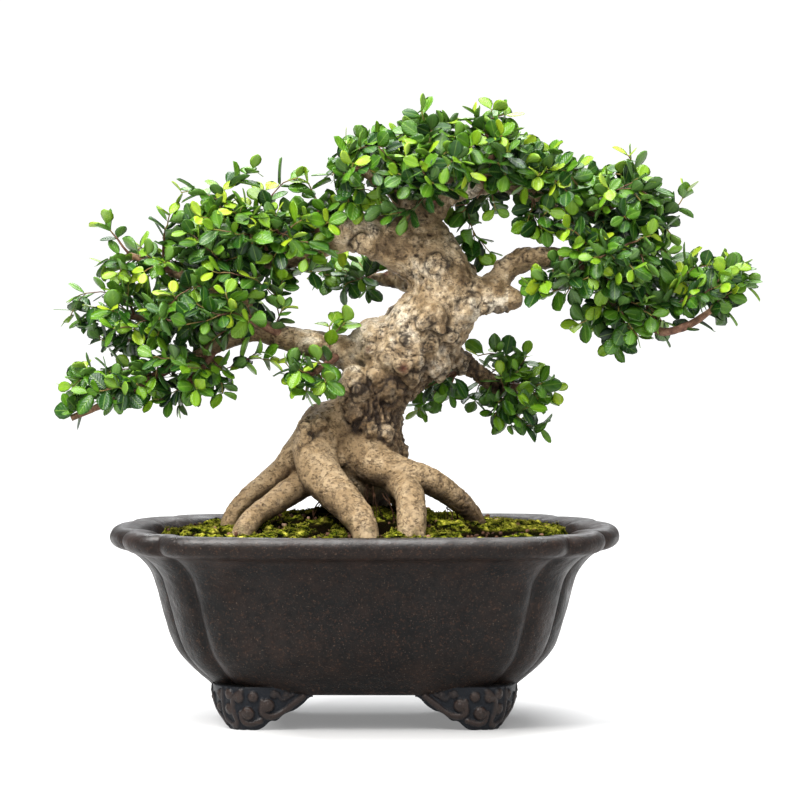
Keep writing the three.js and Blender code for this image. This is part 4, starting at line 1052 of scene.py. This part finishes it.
def find_burls(rng):
    """All burls: [centre, apex, radius, reddish]. Those on the front are placed, the rest scattered."""
    starts, aims, sizes, red = [], [], [], []
    for x, z, radius, stands in FRONT_BURLS:
        starts.append([x, VIEW_FROM_Y, z - (VIEW_FROM_Y - VIEW_MEETS_Y) * VIEW_SLOPE])
        aims.append(unit([0.0, 1.0, VIEW_SLOPE]))
        sizes.append((radius, stands))
        red.append((x, z) in RED_BURLS)
    for name, first, last, count, largest in BURL_LINES:
        line = spline(LIMBS[name][0] if name in LIMBS else TRUNK, 3.0)[first:last, :3]
        for _ in range(count):
            at = line[int(rng.integers(len(line)))]
            turn = rng.uniform(0.1, math.pi - 0.1)
            way = unit([math.cos(turn), math.sin(turn), rng.uniform(-0.5, 0.5)])
            starts.append(at + way * BURL_AWAY)
            aims.append(-way)
            sizes.append((largest * rng.uniform(0.45, 1.0), rng.uniform(0.35, 0.6)))
            red.append(False)
    places, found = march(np.array(starts), np.array(aims))
    burls = []
    for place, normal, (radius, stands), is_red, ok in zip(places, wood_normal(places), sizes, red, found):
        if not ok:
            continue
        centre = place - normal * radius * (1 - 1.15 * stands)
        burls.append((centre, centre + normal * radius, radius, is_red))
        if radius < 5 or radius > 12:
            continue
        # A large burl has smaller ones round it.
        for _ in range(int(rng.integers(1, 4))):
            aside = unit(np.cross(normal, rng.normal(size=3)))
            small = radius * rng.uniform(0.3, 0.5)
            beside = centre + aside * radius * rng.uniform(0.8, 1.05)
            beside = beside + normal * radius * rng.uniform(0.2, 0.55)
            burls.append((beside, beside + normal * small, small, False))
    return burls


def near_burl(points, burls):
    """1 on the larger burls, falling to 0 round them."""
    share = np.zeros(len(points))
    for _, apex, radius, _ in burls:
        if 4 < radius < 12:
            s = np.linalg.norm(points - apex, axis=1) / radius
            share = np.maximum(share, 1 - ease(1.0, 1.6, s))
    return share


def carve_burls(points, burls, relief, depth, red):
    """Rings, a rim and a pit for each burl."""
    for number, (_, apex, radius, is_red) in enumerate(burls):
        d = np.linalg.norm(points - apex, axis=1) / radius
        close = d < 2.4
        local = points[close] / radius
        s = d[close] * (1 + 0.22 * noise(local * 1.1, 51 + number)) + 0.10 * noise(local * 2.6, 52)
        ringed = 1.0 if number % 3 == 0 else 0.35
        rings = np.cos(s * 9.0) * np.exp(-(s / 0.85) ** 4) * ringed
        rim = bell(s, 1.3, 0.15) * ease(-0.35, 0.15, noise(local * 0.8, 70 + number))
        pit = bell(s, 0, 0.22) * (0.3 + 0.7 * ringed)
        relief[close] += 0.06 * radius * rings - 0.16 * radius * rim - 0.20 * radius * pit
        # The rim's crease is darkened as painted shade, and the rings and the pit are dark marks of the bark.
        depth[close] += 0.4 * np.clip(-rings, 0, 1) + 0.75 * rim + 0.7 * pit
        if is_red:
            red[close] = np.maximum(red[close], bell(s, 0, 0.5))


def carve_knots(points, woody, rooty, relief, depth, rng):
    """Small knots and pits over the upper wood, and brown pores, wider than they are tall, in the roots."""
    tree = KDTree(len(points))
    for index, point in enumerate(points):
        tree.insert(point, index)
    tree.balance()

    def around(index, reach):
        found = tree.find_range(points[index], reach)
        return np.array([f[1] for f in found]), np.array([f[2] for f in found])

    for index in rng.choice(np.flatnonzero(woody), KNOTS, replace=False):
        radius = rng.uniform(1.3, 3.3)
        close, away = around(index, 2.4 * radius)
        s = away / radius * (1 + 0.2 * noise(points[close] * 0.6, 97))
        if rng.uniform() < 0.6:
            hole = bell(s, 0, 0.3)
            relief[close] += radius * (0.62 * bell(s, 0, 0.75) - 0.5 * hole)
            depth[close] += 0.75 * hole + 0.5 * bell(s, 1.35, 0.28)
        else:
            hole = bell(s, 0, 0.42)
            relief[close] -= 0.55 * radius * hole
            depth[close] += 0.85 * hole
    for index in rng.choice(np.flatnonzero(rooty), PORES, replace=False):
        radius = rng.uniform(1.0, 2.4)
        close, _ = around(index, 2.4 * radius)
        s = np.linalg.norm((points[close] - points[index]) * (0.75, 0.75, 1.5), axis=1) / radius
        pore = bell(s, 0, 0.5)
        relief[close] += radius * (0.10 * bell(s, 0.9, 0.35) - 0.16 * pore)
        depth[close] += 0.36 * pore


def wood_relief(points, normals, burls, rng):
    """Fine relief of the bark along the normals, and the values that its colour needs."""
    x, y, z = points.T
    root_gap = np.minimum.reduce([chain.distance(points) for chain in ROOT_CHAINS])
    on_trunk = ease(-1.0, 4.0, root_gap - TRUNK_CHAIN.distance(points))
    upper = ease(225, 255, z + 0.3 * x * (y < 20))
    edge = 8 * fbm(points * 0.05, 3, 19)
    low = ease(168, 184, z + edge) * (1 - ease(228, 244, z - 0.35 * x + edge))
    fissured = on_trunk * low * lerp(0.35, 1.0, ease(-22, -8, x + edge))
    behind = ease(5, 20, y) * ease(170, 190, z) * (1 - ease(262, 285, z)) * on_trunk
    below = ease(0.15, 0.7, -normals[:, 2]) * on_trunk * (z > 235) * (1 - ease(285, 300, z))
    burled = near_burl(points, burls)
    fissured = np.clip(np.maximum.reduce([fissured, 0.8 * behind, 0.45 * below]), 0, 1) * (1 - 0.75 * burled)

    # Stringy bark with long cracks, on the lower trunk.
    warped = points + 7 * noises(points * 0.05, (11, 12, 13))
    stringy = warped * (0.13, 0.13, 0.030)
    cracks = lines_of(fbm(stringy, 4, 7), 0.10)
    fine_cracks = lines_of(fbm(stringy * 2.3, 3, 17), 0.13)
    near, after = cells(stringy * 1.3, 15)
    breaks = np.clip(1 - (after - near) / 0.16, 0, 1)
    ridges = fbm(stringy * 1.6, 3, 21)
    relief = fissured * (1.3 + 2.4 * ridges - 3.4 * cracks - 1.6 * fine_cracks - 0.7 * breaks)
    depth = fissured * np.clip(0.15 + 1.0 * cracks + 0.6 * fine_cracks + 0.3 * breaks - 0.25 * ridges, 0, 1)

    # Swollen wood: lumps with folds between them, and slow dents everywhere. The folds are darkened as
    # painted shade.
    swirled = points + 8 * noises(points * 0.05, (61, 62, 63))
    near, after = cells(swirled * 0.065, 27)
    swollen = np.maximum(on_trunk * upper, ease(290, 320, z)) * (1 - 0.6 * fissured) * (1 - 0.85 * burled)
    relief += swollen * (2.0 * (1 - np.clip(near, 0, 1) ** 2) - 1.2)
    folds = lines_of(fbm(swirled * 0.045, 3, 28), 0.045) * ease(-0.15, 0.15, noise(points * 0.06, 30))
    small_folds = lines_of(fbm(swirled * (0.11, 0.11, 0.15), 3, 34), 0.05)
    small_folds *= ease(-0.1, 0.2, noise(points * 0.08, 35))
    relief -= swollen * (1.3 * folds + 0.7 * small_folds)
    depth += swollen * (0.7 * folds + 0.4 * small_folds)
    dents = (1.0 + 1.6 * on_trunk) * fbm(points * 0.04, 3, 23)
    relief += dents + 0.9 * fbm(points * 0.16, 4, 29) * (0.4 + 0.6 * on_trunk)
    wrinkles = lines_of(fbm(points * (0.13, 0.13, 0.10), 3, 37), 0.05) * (0.35 + 0.65 * upper * on_trunk)
    relief -= 0.6 * wrinkles
    depth += 0.3 * wrinkles

    # Roots have faint bands across them.
    bands = lines_of(fbm(points * (0.12, 0.12, 0.34), 3, 91), 0.10)
    bands = bands * ease(-0.2, 0.1, noise(points * 0.14, 92)) * (1 - on_trunk)
    relief += (1 - on_trunk) * 0.5 * fbm(points * 0.22, 3, 93) - 0.45 * bands
    depth += 0.3 * bands

    red = np.zeros(len(points))
    carve_burls(points, burls, relief, depth, red)
    woody = (z > 205) & (np.maximum(on_trunk, upper) > 0.5) & (fissured < 0.45)
    carve_knots(points, woody, root_gap < 1.0, relief, depth, rng)

    # Painted shade: what faces down and what lies under the arches is darkened. The right root's end is
    # split.
    depth += 0.42 * ease(-0.15, 0.75, -normals[:, 2]) * (z < 200)
    depth += 0.7 * np.exp(-(((x - 8) / 20) ** 2 + ((y - 6) / 18) ** 2)) * (z < 168)
    split_end = ease(60, 72, x) * (z < 168) * (np.abs(y + 24) < 22)
    grain = lines_of(fbm(warped * (0.05, 0.2, 0.12), 3, 43), 0.10)
    relief -= 1.6 * split_end * grain
    depth += split_end * (0.7 * grain + 0.1)
    fissured = np.maximum(fissured, 0.6 * split_end)
    damp = 0.8 * (1 - ease(132, 150, z)) * ease(-0.2, 0.5, noise(points * 0.2, 71))
    damp += 0.8 * np.exp(-np.sum(((points - (-5, -30, 257)) / 9) ** 2, 1))
    tone_and_painted_shade = 0.43 + 0.15 * on_trunk + (0.16 + 0.36 * on_trunk) * fbm(points * 0.045, 4, 87)
    tone_and_painted_shade += (0.1 + 0.2 * on_trunk) * noise(points * 0.25, 88)
    # Painted shade: the roots are darker in tone where they face down.
    tone_and_painted_shade = np.clip(tone_and_painted_shade - 0.25 * ease(0.35, -0.6, normals[:, 2]) * (1 - on_trunk), 0, 1)
    # raised lightens what stands out as a painted highlight.
    return relief, dict(depth=np.clip(depth, 0, 1), fissured=fissured, red=red, damp=np.clip(damp, 0, 0.75),
                        tone_and_painted_shade=tone_and_painted_shade, trunk=on_trunk, raised=np.clip(relief / 3.0, 0, 1))


def make_wood(rng):
    """Roots, trunk and limbs as one skin, with burls, fissures and pores."""
    burls = find_burls(rng)
    rough = Heap()
    for chain in (TRUNK_CHAIN, *ROOT_CHAINS, *LIMB_CHAINS):
        rows = spline(chain.stations, ROUGH_STEP)
        rough.add(*tube(rows[:, :3], rows[:, 3], ROUGH_SIDES))
    unit_ball, ball_faces = ball(*ROUGH_BALL)
    for centre, _, radius, _ in burls:
        rough.add(centre + unit_ball * radius, ball_faces)
    wood = rough.piece("wood", BARK)
    modify(wood, "REMESH", mode="VOXEL", voxel_size=VOXEL_MM * MM)
    apply_modifiers(wood)

    # The skin is drawn onto the smooth wood, evened out, and then carved.
    for _ in range(DRAWS):
        points, normals = skin_of(wood.data)
        gap = wood_distance(points)
        for centre, _, radius, _ in burls:
            close = np.abs(points - centre).max(1) < radius + 16
            ball_gap = np.linalg.norm(points[close] - centre, axis=1) - radius
            gap[close] = smooth_min(gap[close], ball_gap, BURL_FILLET)
        move_to(wood.data, points - normals * np.clip(gap, -DRAWN_MOST, DRAWN_MOST)[:, None])
    modify(wood, "SMOOTH", factor=0.5, iterations=2)
    apply_modifiers(wood)
    points, normals = skin_of(wood.data)
    relief, values = wood_relief(points, normals, burls, rng)
    move_to(wood.data, points + normals * relief[:, None])
    store(wood.data, **values)
    modify(wood, "DECIMATE", ratio=WOOD_KEPT)
    apply_modifiers(wood)
    wood.data.shade_smooth()
    wood.data.materials.clear()
    wood.data.materials.append(BARK)
    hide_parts("trunk")
    return wood


# Hair roots under the arches of the roots: [x, y, z of the top, then of the foot]
HAIR_ROOTS = rows_of("""
    -22 -46 150 -30 -52 137, -20 -44 151 -24 -58 136, -16 -52 147 -22 -62 135, 2 -34 166 4 -40 138,
    8 -32 165 6 -46 138, 4 -30 166 14 -44 138, 14 -34 163 20 -52 137, -30 -36 158 -34 -40 139,
    -4 -48 152 -10 -54 137, 58 -28 150 64 -34 137, 64 -26 147 70 -22 137, -58 -30 152 -60 -34 138,
    22 34 160 14 40 140, -30 34 166 -24 40 140, -2 34 168 6 30 141""")


def make_hair_roots(rng):
    heap = Heap()
    for ends in HAIR_ROOTS:
        for _ in range(2):
            a = np.array(ends[:3]) + rng.uniform(-2, 2, 3)
            b = np.array(ends[3:]) + rng.uniform(-4, 4, 3) * (1, 1, 0)
            b[2] = soil_height(b[0], b[1])
            bend = (a + b) / 2 + rng.uniform(-4, 4, 3)
            path = spline([a, bend, b], 2.0)
            path = path + 0.5 * noises(path * 0.4, (1, 2, 3))
            thick = rng.uniform(0.25, 0.6)
            heap.add(*tube(path, np.linspace(thick, thick * 0.6, len(path)), 6))
    roots = heap.piece("hair_roots", SOIL)
    return roots


# Foliage: each spray has a name and a seed, then an axis that carries on from a limb, the tips that its
# shoots reach, and the middle and half sizes of the space that its leaves fill.

SPRAYS = tables("""
left_low_tip 601:
-118 -30 256 3.4, -146 -33 243 3, -172 -35 228 2.6, -204 -36 214 2.2;
-208 -36 236, -198 -28 252, -178 -54 246, -160 -20 252, -209 -46 218;
-177 -35 236, 34 32 14

left_low_mid 802:
-103 -27 263 3, -112 -32 250 2.6, -122 -36 240 2.2;
-66 -32 262, -60 -30 255, -88 -32 246, -74 -30 256, -130 -28 216, -94 -34 228, -150 -42 224, -114 -64 234;
-126 -30 247, 32 38 22

left_low_out 203:
-86 -20 270 3.6, -110 -16 276 3.2, -140 -10 280 2.8, -166 -8 284 2.2;
-176 -8 308, -164 -10 312, -206 -10 300, -211 -4 284, -184 14 268, -140 -36 270, -178 -32 292;
-170 -8 280, 34 36 20

left_mid_front 704:
-56 -22 271 3.6, -74 -36 280 3.2, -94 -44 286 2.6;
-52 -26 312, -58 -26 302, -50 -34 292, -104 -47 322, -74 -50 316, -138 -50 304, -128 -62 284, -88 -70 288;
-112 -50 288, 41 30 25

left_mid_back 505:
-72 -12 272 3.6, -82 14 278 3.2, -98 36 284 2.6;
-146 44 292, -120 70 296, -78 60 296, -122 30 262;
-119 42 289, 41 34 27

left_high_out 306:
-132 3 314 3.2, -148 4 320 2.8, -164 7 326 2.2;
-186 8 351, -134 -12 360, -188 6 320, -156 36 332;
-150 0 317, 31 36 13

left_high 207:
-92 -13 301 3.8, -98 -14 320 3.2, -102 -13 338 2.4;
-75 -14 392, -100 -18 378, -132 -10 374, -116 -40 356, -74 -36 356;
-98 -12 341, 36 46 29

left_high_back 708:
-63 42 318 3.2, -78 48 326 2.6, -92 52 334 2;
-120 52 344, -92 76 352, -66 50 360;
-87 45 327, 36 32 27

left_inner 609:
-64 -9 321 3.4, -68 -12 334 2.8, -62 -14 348 2.2;
-46 -12 386, -72 8 376, -50 -44 340;
-51 -12 334, 29 42 29

shoulder_left 710:
-30 -12 333 3, -32 -10 344 2.4, -30 -9 354 2;
-42 -10 383, -44 20 354, -24 -40 350;
-29 -8 352, 15 28 15

crown_left 211:
-3 -14 386 3, -8 -15 391 2.4, -12 -16 396 2;
-18 -12 406, -28 -18 381, -14 -30 360, -4 -30 357, 10 -18 416, -10 -48 392, 0 -32 364, 12 -30 366,
-8 -34 370;
7 -14 389, 34 42 23

crown_top 512:
50 16 394 3, 46 12 402 2.4, 42 8 408 2;
39 0 433, 60 12 424, 26 34 414;
46 8 397, 34 50 24

crown_front 813:
48 -1 365 3.6, 46 -18 371 3, 42 -30 378 2.2;
14 -32 352, 26 -32 348, 6 -32 362, 60 -38 404, 24 -44 400, 48 -64 376, 78 -44 384;
48 -42 384, 34 24 18

crown_mid 114:
80 6 374 3.4, 86 2 386 2.8, 90 0 398 2.2;
88 -2 434, 74 0 430, 100 2 430, 84 34 414, 106 -30 406, 62 14 350, 71 14 326, 78 8 320, 88 12 322,
76 10 334, 58 20 356, 92 -4 352;
91 -2 398, 31 46 26

crown_back 315:
62 54 380 3.4, 68 64 385 2.6, 76 72 388 2;
104 78 396, 42 76 402, 74 104 388, 110 50 384;
63 62 382, 52 32 24

crown_right 816:
114 4 372 3.4, 123 2 380 2.8, 130 0 386 2.2;
130 -6 406, 152 10 391, 118 -34 384, 134 38 388, 110 -10 346, 122 -12 340, 132 -10 338, 100 -8 352;
137 0 372, 32 44 25

right_high 217:
145 4 350 3.2, 162 2 357 2.8, 180 0 363 2.2;
184 -4 402, 194 6 386, 231 2 372, 184 40 372, 168 -36 376, 219 -6 338;
182 -2 361, 32 46 27

right_mid 18:
150 -4 321 3.6, 160 -20 326 3, 170 -30 328 2.4;
110 -26 302, 116 -30 308, 124 -24 298, 136 -22 296, 138 -44 350, 204 -34 344, 120 -36 308, 190 -58 318,
158 -62 328;
165 -26 318, 41 36 24

right_back 419:
149 35 323 3.4, 164 42 326 2.8, 180 48 326 2.2;
216 50 334, 190 76 326, 154 66 338, 176 60 300;
182 45 319, 41 30 24

right_low 420:
170 -3 312 3.4, 172 -10 300 2.8, 174 -11 290 2.2;
172 -10 258, 194 -18 266, 144 -20 278, 162 18 274;
182 -8 283, 31 34 18

right_tip 621:
199 1 295 3.8, 205 -10 274 3.6, 222 -14 276 3, 243 -12 289 2.6, 256 -6 302 2;
210 -12 300, 218 -16 290, 248 0 326, 268 -2 322, 274 -2 304, 256 6 282, 224 12 326, 230 -34 304;
243 0 307, 31 38 21

low_right 122:
97 41 231 3.2, 105 44 232 2.6, 112 45 232 2;
76 36 258, 94 40 262, 116 38 259, 140 46 229, 128 44 200, 104 40 199, 88 34 208, 106 70 234;
103 42 226, 32 30 27

low_right_inner 623:
70 25 250 3, 62 31 241 2.4, 54 35 234 2;
34 30 212, 28 36 230;
51 34 229, 18 22 12

trunk_left 824:
-20 -20 256 3, -27 -32 251 2.4, -34 -38 246 2;
-22 -24 283, -10 -22 285, -34 -20 277, -60 -38 256, -52 -40 234, -22 -50 238, -26 -40 232;
-42 -38 245, 20 18 18

behind 225:
9 64 307 3.4, -6 69 306 2.8, -16 73 307 2;
4 52 296, -40 76 313, -14 98 318, 22 84 317;
-6 60 309, 30 30 12
""")
LEAF_MM = (12.5, 18.0)
PAIR_SPACING = 7.6
TIP_LEAF_MM = 5.5  # how far the leaves at a shoot's end reach past it
SPACE_PER_TWIG = 6300.0  # cubic millimetres of a spray's space for each twig in it
TIP_SPACING, SPACE_FILLED = 15.0, 0.88
TIP_TRIES = 30  # for each tip that is to be placed
AXIS_SIDES, TWIG_SIDES = 8, 5
AXIS_STEP, TWIG_STEP = 3.0, 4
TWIG_END_RADIUS, TWIG_ROOM = 0.42, 1.5
FORKS = (0.35, 0.6, 0.8)  # where later twigs may leave a twig, as shares of its length
SHORT_REACH = 18  # under it a nearer fork has no advantage
LEAF_ROOM = ((0.6, 2.0), (1.0, 1.0))  # [share of a leaf's length, how far from the wood]

# A leaf's points: rows along it (0 foot, 1 tip), each with five points across
LEAF_ROWS = (0.1, 0.3, 0.52, 0.74, 0.92)
LEAF_ACROSS = (-1.0, -0.5, 0.0, 0.5, 1.0)


def leaf_template():
    """The along, across and under values of a leaf's points, and its faces: a closed thin blade."""
    spots = [(r, c) for r in range(len(LEAF_ROWS)) for c in range(len(LEAF_ACROSS))]
    inner = [(r, c) for r, c in spots if abs(LEAF_ACROSS[c]) < 1]
    tip = 1 + len(spots)
    top = {spot: 1 + k for k, spot in enumerate(spots)}
    under = {**top, **{spot: 1 + tip + k for k, spot in enumerate(inner)}}
    places = [(0.0, 0.0, 0.0)] + [(LEAF_ROWS[r], LEAF_ACROSS[c], 0.0) for r, c in spots] + [(1.0, 0.0, 0.0)]
    places += [(LEAF_ROWS[r], LEAF_ACROSS[c], 1.0) for r, c in inner]
    faces, last = [], len(LEAF_ROWS) - 1
    for grid, turn in ((top, 1), (under, -1)):
        for c in range(len(LEAF_ACROSS) - 1):
            faces.append([0, grid[0, c + 1], grid[0, c]][::turn])
            faces.append([tip, grid[last, c], grid[last, c + 1]][::turn])
            for r in range(last):
                faces.append([grid[r, c], grid[r, c + 1], grid[r + 1, c + 1], grid[r + 1, c]][::turn])
    return np.array(places), faces


LEAF_PLACES, LEAF_FACES = leaf_template()


def leaf_width(along):
    """Half the width of a leaf along its length: widest past the middle, blunt at the tip."""
    return np.sin(np.pi * along ** 1.3) ** 0.62 * ease(0, 0.26, along) ** 0.5


def add_leaves(heap, leaves):
    """Adds many leaves, each (foot, way, face, length, width, cup, curl, age)."""
    foot_at, way, face = (np.array([leaf[n] for leaf in leaves]) for n in range(3))
    length, width, cup, curl, age = (np.array([leaf[n] for leaf in leaves])[:, None] for n in range(3, 8))
    way = unit(way)
    face = unit(face - way * np.sum(face * way, 1, keepdims=True))
    aside = np.cross(way, face)
    along, across, under = LEAF_PLACES.T
    half = 0.5 * width * leaf_width(along)
    fold = 0.10 * width * (np.abs(across) ** 1.4) * cup
    arch = -curl * length * (along - 0.35) ** 2
    rise = fold + arch - 0.4 * under * (1 - across ** 2)
    points = foot_at[:, None] + (along * length)[..., None] * way[:, None]
    points = points + (across * half)[..., None] * aside[:, None] + rise[..., None] * face[:, None]
    for place, old in zip(points, age[:, 0]):
        heap.add(place, LEAF_FACES, age=old, along=along, across=across, under=under)


def bezier(a, knee, b, count):
    t = np.linspace(0, 1, count)[:, None]
    return (1 - t) ** 2 * a + 2 * t * (1 - t) * knee + t ** 2 * b


def fill_tips(middle, halves, known, count, rng):
    """Tips scattered through a spray's space, more of them near its surface and its top."""
    spacing, made = TIP_SPACING, []
    for _ in range(count * TIP_TRIES):
        if len(made) == count:
            break
        way = unit(rng.normal(size=3))
        if way[2] < -0.35 and rng.uniform() < 0.6:
            continue
        tip = middle + way * halves * (SPACE_FILLED * rng.uniform(0.45, 1.0) ** 0.5)
        spacing *= 0.998
        if min(np.linalg.norm(tip - other) for other in known + made) > spacing:
            made.append(tip)
    return made


def grow_spray(axis, known_tips, space, rng):
    """A spray's twigs, each (path, start radius, end radius), its axis first, and its leaves."""
    middle, halves = np.array(space)
    rows = spline(axis, AXIS_STEP)
    twigs = [(rows[:, :3], rows[0, 3], rows[-1, 3])]
    ways = unit(np.gradient(rows[:, :3], axis=0))
    woody = [(rows[k, :3], ways[k], rows[k, 3]) for k in range(3, len(rows), 3)]
    volume = 4 / 3 * math.pi * float(np.prod(halves))
    count = max(5, round(volume / SPACE_PER_TWIG) + 4)
    known_tips = [tip - TIP_LEAF_MM * unit(tip - middle) for tip in np.array(known_tips)]
    tips = [(tip, True) for tip in known_tips]
    tips += [(tip, False) for tip in fill_tips(middle, halves, known_tips, count, rng)]
    tips.sort(key=lambda tip: (not tip[1], float(np.linalg.norm(tip[0] - rows[0, :3]))))
    leaves = []
    for tip, main in tips:
        # A twig leaves the wood near its tip, where it needs to turn least.
        at, toward = (np.array([node[n] for node in woody]) for n in (0, 1))
        reach = tip - at
        span = np.linalg.norm(reach, axis=1)
        best = int(np.argmin(np.maximum(SHORT_REACH, span) * (1.5 - 0.5 * np.sum(unit(reach) * toward, 1))))
        origin, way, thick = woody[best]
        length = float(span[best])
        knee = lerp(origin, tip, 0.5) + way * length * 0.15 + UP * length * rng.uniform(0.0, 0.1)
        knee = knee + rng.normal(size=3) * length * 0.05
        path = bezier(origin, knee, tip, max(5, int(length / TWIG_STEP)))
        path[1:-1] += rng.normal(size=(len(path) - 2, 3)) * 0.35
        if (wood_distance(path[len(path) // 2:]) < TWIG_ROOM).any():
            continue
        radius = min(0.75 * thick, 0.75 + length * 0.012)
        twigs.append((path, radius, TWIG_END_RADIUS))
        tangents = unit(np.gradient(path, axis=0))
        for share in FORKS:
            k = int(share * (len(path) - 1))
            woody.append((path[k], tangents[k], lerp(radius, 0.5, share)))
        leaves += twig_leaves(path, tangents, middle, main, rng)
    leaves += axis_leaves(rows, ways, middle, rng)
    clear = np.ones(len(leaves), bool)
    for share, room in LEAF_ROOM:
        places = np.array([leaf[0] + unit(leaf[1]) * leaf[3] * share for leaf in leaves])
        clear &= wood_distance(places) > room
    return twigs, [leaf for leaf, ok in zip(leaves, clear) if ok]


def one_leaf(at, way, face, size, age, rng):
    length = size * rng.uniform(0.85, 1.12)
    width = length * rng.uniform(0.60, 0.80)
    cup, curl = rng.uniform(-0.4, 1.6), rng.uniform(-0.02, 0.22)
    return at, way, face, length, width, cup, curl, float(np.clip(age + rng.normal() * 0.1, 0, 1))


def twig_leaves(path, tangents, middle, main, rng):
    """Pairs of leaves along a twig, each pair turned a quarter from the last, youngest at the tip."""
    run = run_along(path)
    length = run[-1]
    outward = unit(path[-1] - middle)
    light = unit(0.75 * UP + 0.55 * outward + (0, -0.22, 0) + 0.35 * rng.normal(size=3))
    leaves = []
    distance = length - 1.0
    order = int(rng.integers(2))
    bare = 0.22 if main else 0.12
    vigour = rng.uniform(0.0, 0.25) if main else rng.uniform(0.1, 0.6)
    while distance > length * bare and distance > 3:
        at, ahead = (np.array([np.interp(distance, run, column) for column in line.T])
                     for line in (path, tangents))
        ahead = unit(ahead)
        level = unit(np.cross(ahead, light))
        over = np.cross(level, ahead)
        rank = len(leaves) // 2
        age = lerp(0.62 + 0.3 * rng.uniform(), vigour, math.exp(-rank / 1.3))
        # Leaves low in their spray are made older, and so darker: painted shade.
        age = min(1.0, age + 0.2 * float(ease(0.2, -0.6, (at - middle)[2] / 30)))
        size = lerp(*LEAF_MM, rng.uniform(0.25, 1)) * (0.72 + 0.28 * min(1, (rank + 0.5) / 1.5))
        for side in (-1, 1):
            if rank and rng.uniform() < 0.07:
                continue
            across = level * side if order % 2 == 0 else over * side
            forward = 0.75 if rank == 0 else rng.uniform(0.35, 0.8)
            way = unit(across * rng.uniform(0.8, 1.0) + ahead * forward + rng.normal(size=3) * 0.16)
            if order % 2 and side < 0:
                way = unit(way + level * rng.uniform(-0.9, 0.9))
            face = unit(light + 0.4 * ahead * (order % 2) * -side + rng.normal(size=3) * 0.33)
            leaves.append(one_leaf(at + way * 0.4, way, face, size, age, rng))
        order += 1
        distance -= PAIR_SPACING * rng.uniform(0.8, 1.2) * (0.65 if rank == 0 else 1)
    return leaves


def axis_leaves(rows, ways, middle, rng):
    """A few older leaves straight on the branch."""
    leaves = []
    for k in range(4, len(rows) - 1, 3):
        turn = rng.uniform(0, TAU)
        side = unit(np.cross(ways[k], UP))
        way = unit(side * math.cos(turn) + np.cross(side, ways[k]) * math.sin(turn) + 0.5 * ways[k])
        at = rows[k, :3] + way * rows[k, 3] * 0.7
        face = unit(UP + 0.4 * unit(at - middle) + rng.normal(size=3) * 0.3)
        leaves.append(one_leaf(at, way, face, rng.uniform(*LEAF_MM), 0.8, rng))
    return leaves


def make_sprays():
    made = []
    for heading, parts in SPRAYS.items():
        name, seed = heading.split()
        twigs, leaves = grow_spray(*parts, np.random.default_rng(int(seed)))
        bark, foliage = Heap(), Heap()
        for index, (path, start, end) in enumerate(twigs):
            share = np.linspace(0, 1, len(path))
            radii = lerp(start, end, share ** 0.8)
            sides, young = (TWIG_SIDES, 0.9) if index else (AXIS_SIDES, 0.1)
            if index == 0:
                radii = radii * (1 + 0.16 * noise(path * 0.35, 5))
            bark.add(*tube(path, radii, sides), young=np.repeat(ease(0.45, 1.0, share) * young, sides))
        branch = bark.piece("twigs_" + name, TWIG)
        add_leaves(foliage, leaves)
        blades = foliage.piece("leaves_" + name, LEAF)
        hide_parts("spray_" + name)
        made += [branch, blades]
    return made


# Assembly

studio()
made_pieces = [make_pot(), make_soil()]
for make, seed_number in ((make_moss, 11), (make_grit, 12), (make_wood, 13), (make_hair_roots, 14)):
    made_pieces.append(make(np.random.default_rng(seed_number)))
made_pieces += make_sprays()
for one_piece in made_pieces:
    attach(one_piece, "root")
for node_name in ("drain_screen_left", "drain_screen_right"):
    node_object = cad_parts[node_name]
    node_object.data.materials.clear()
    node_object.data.materials.append(SCREEN)
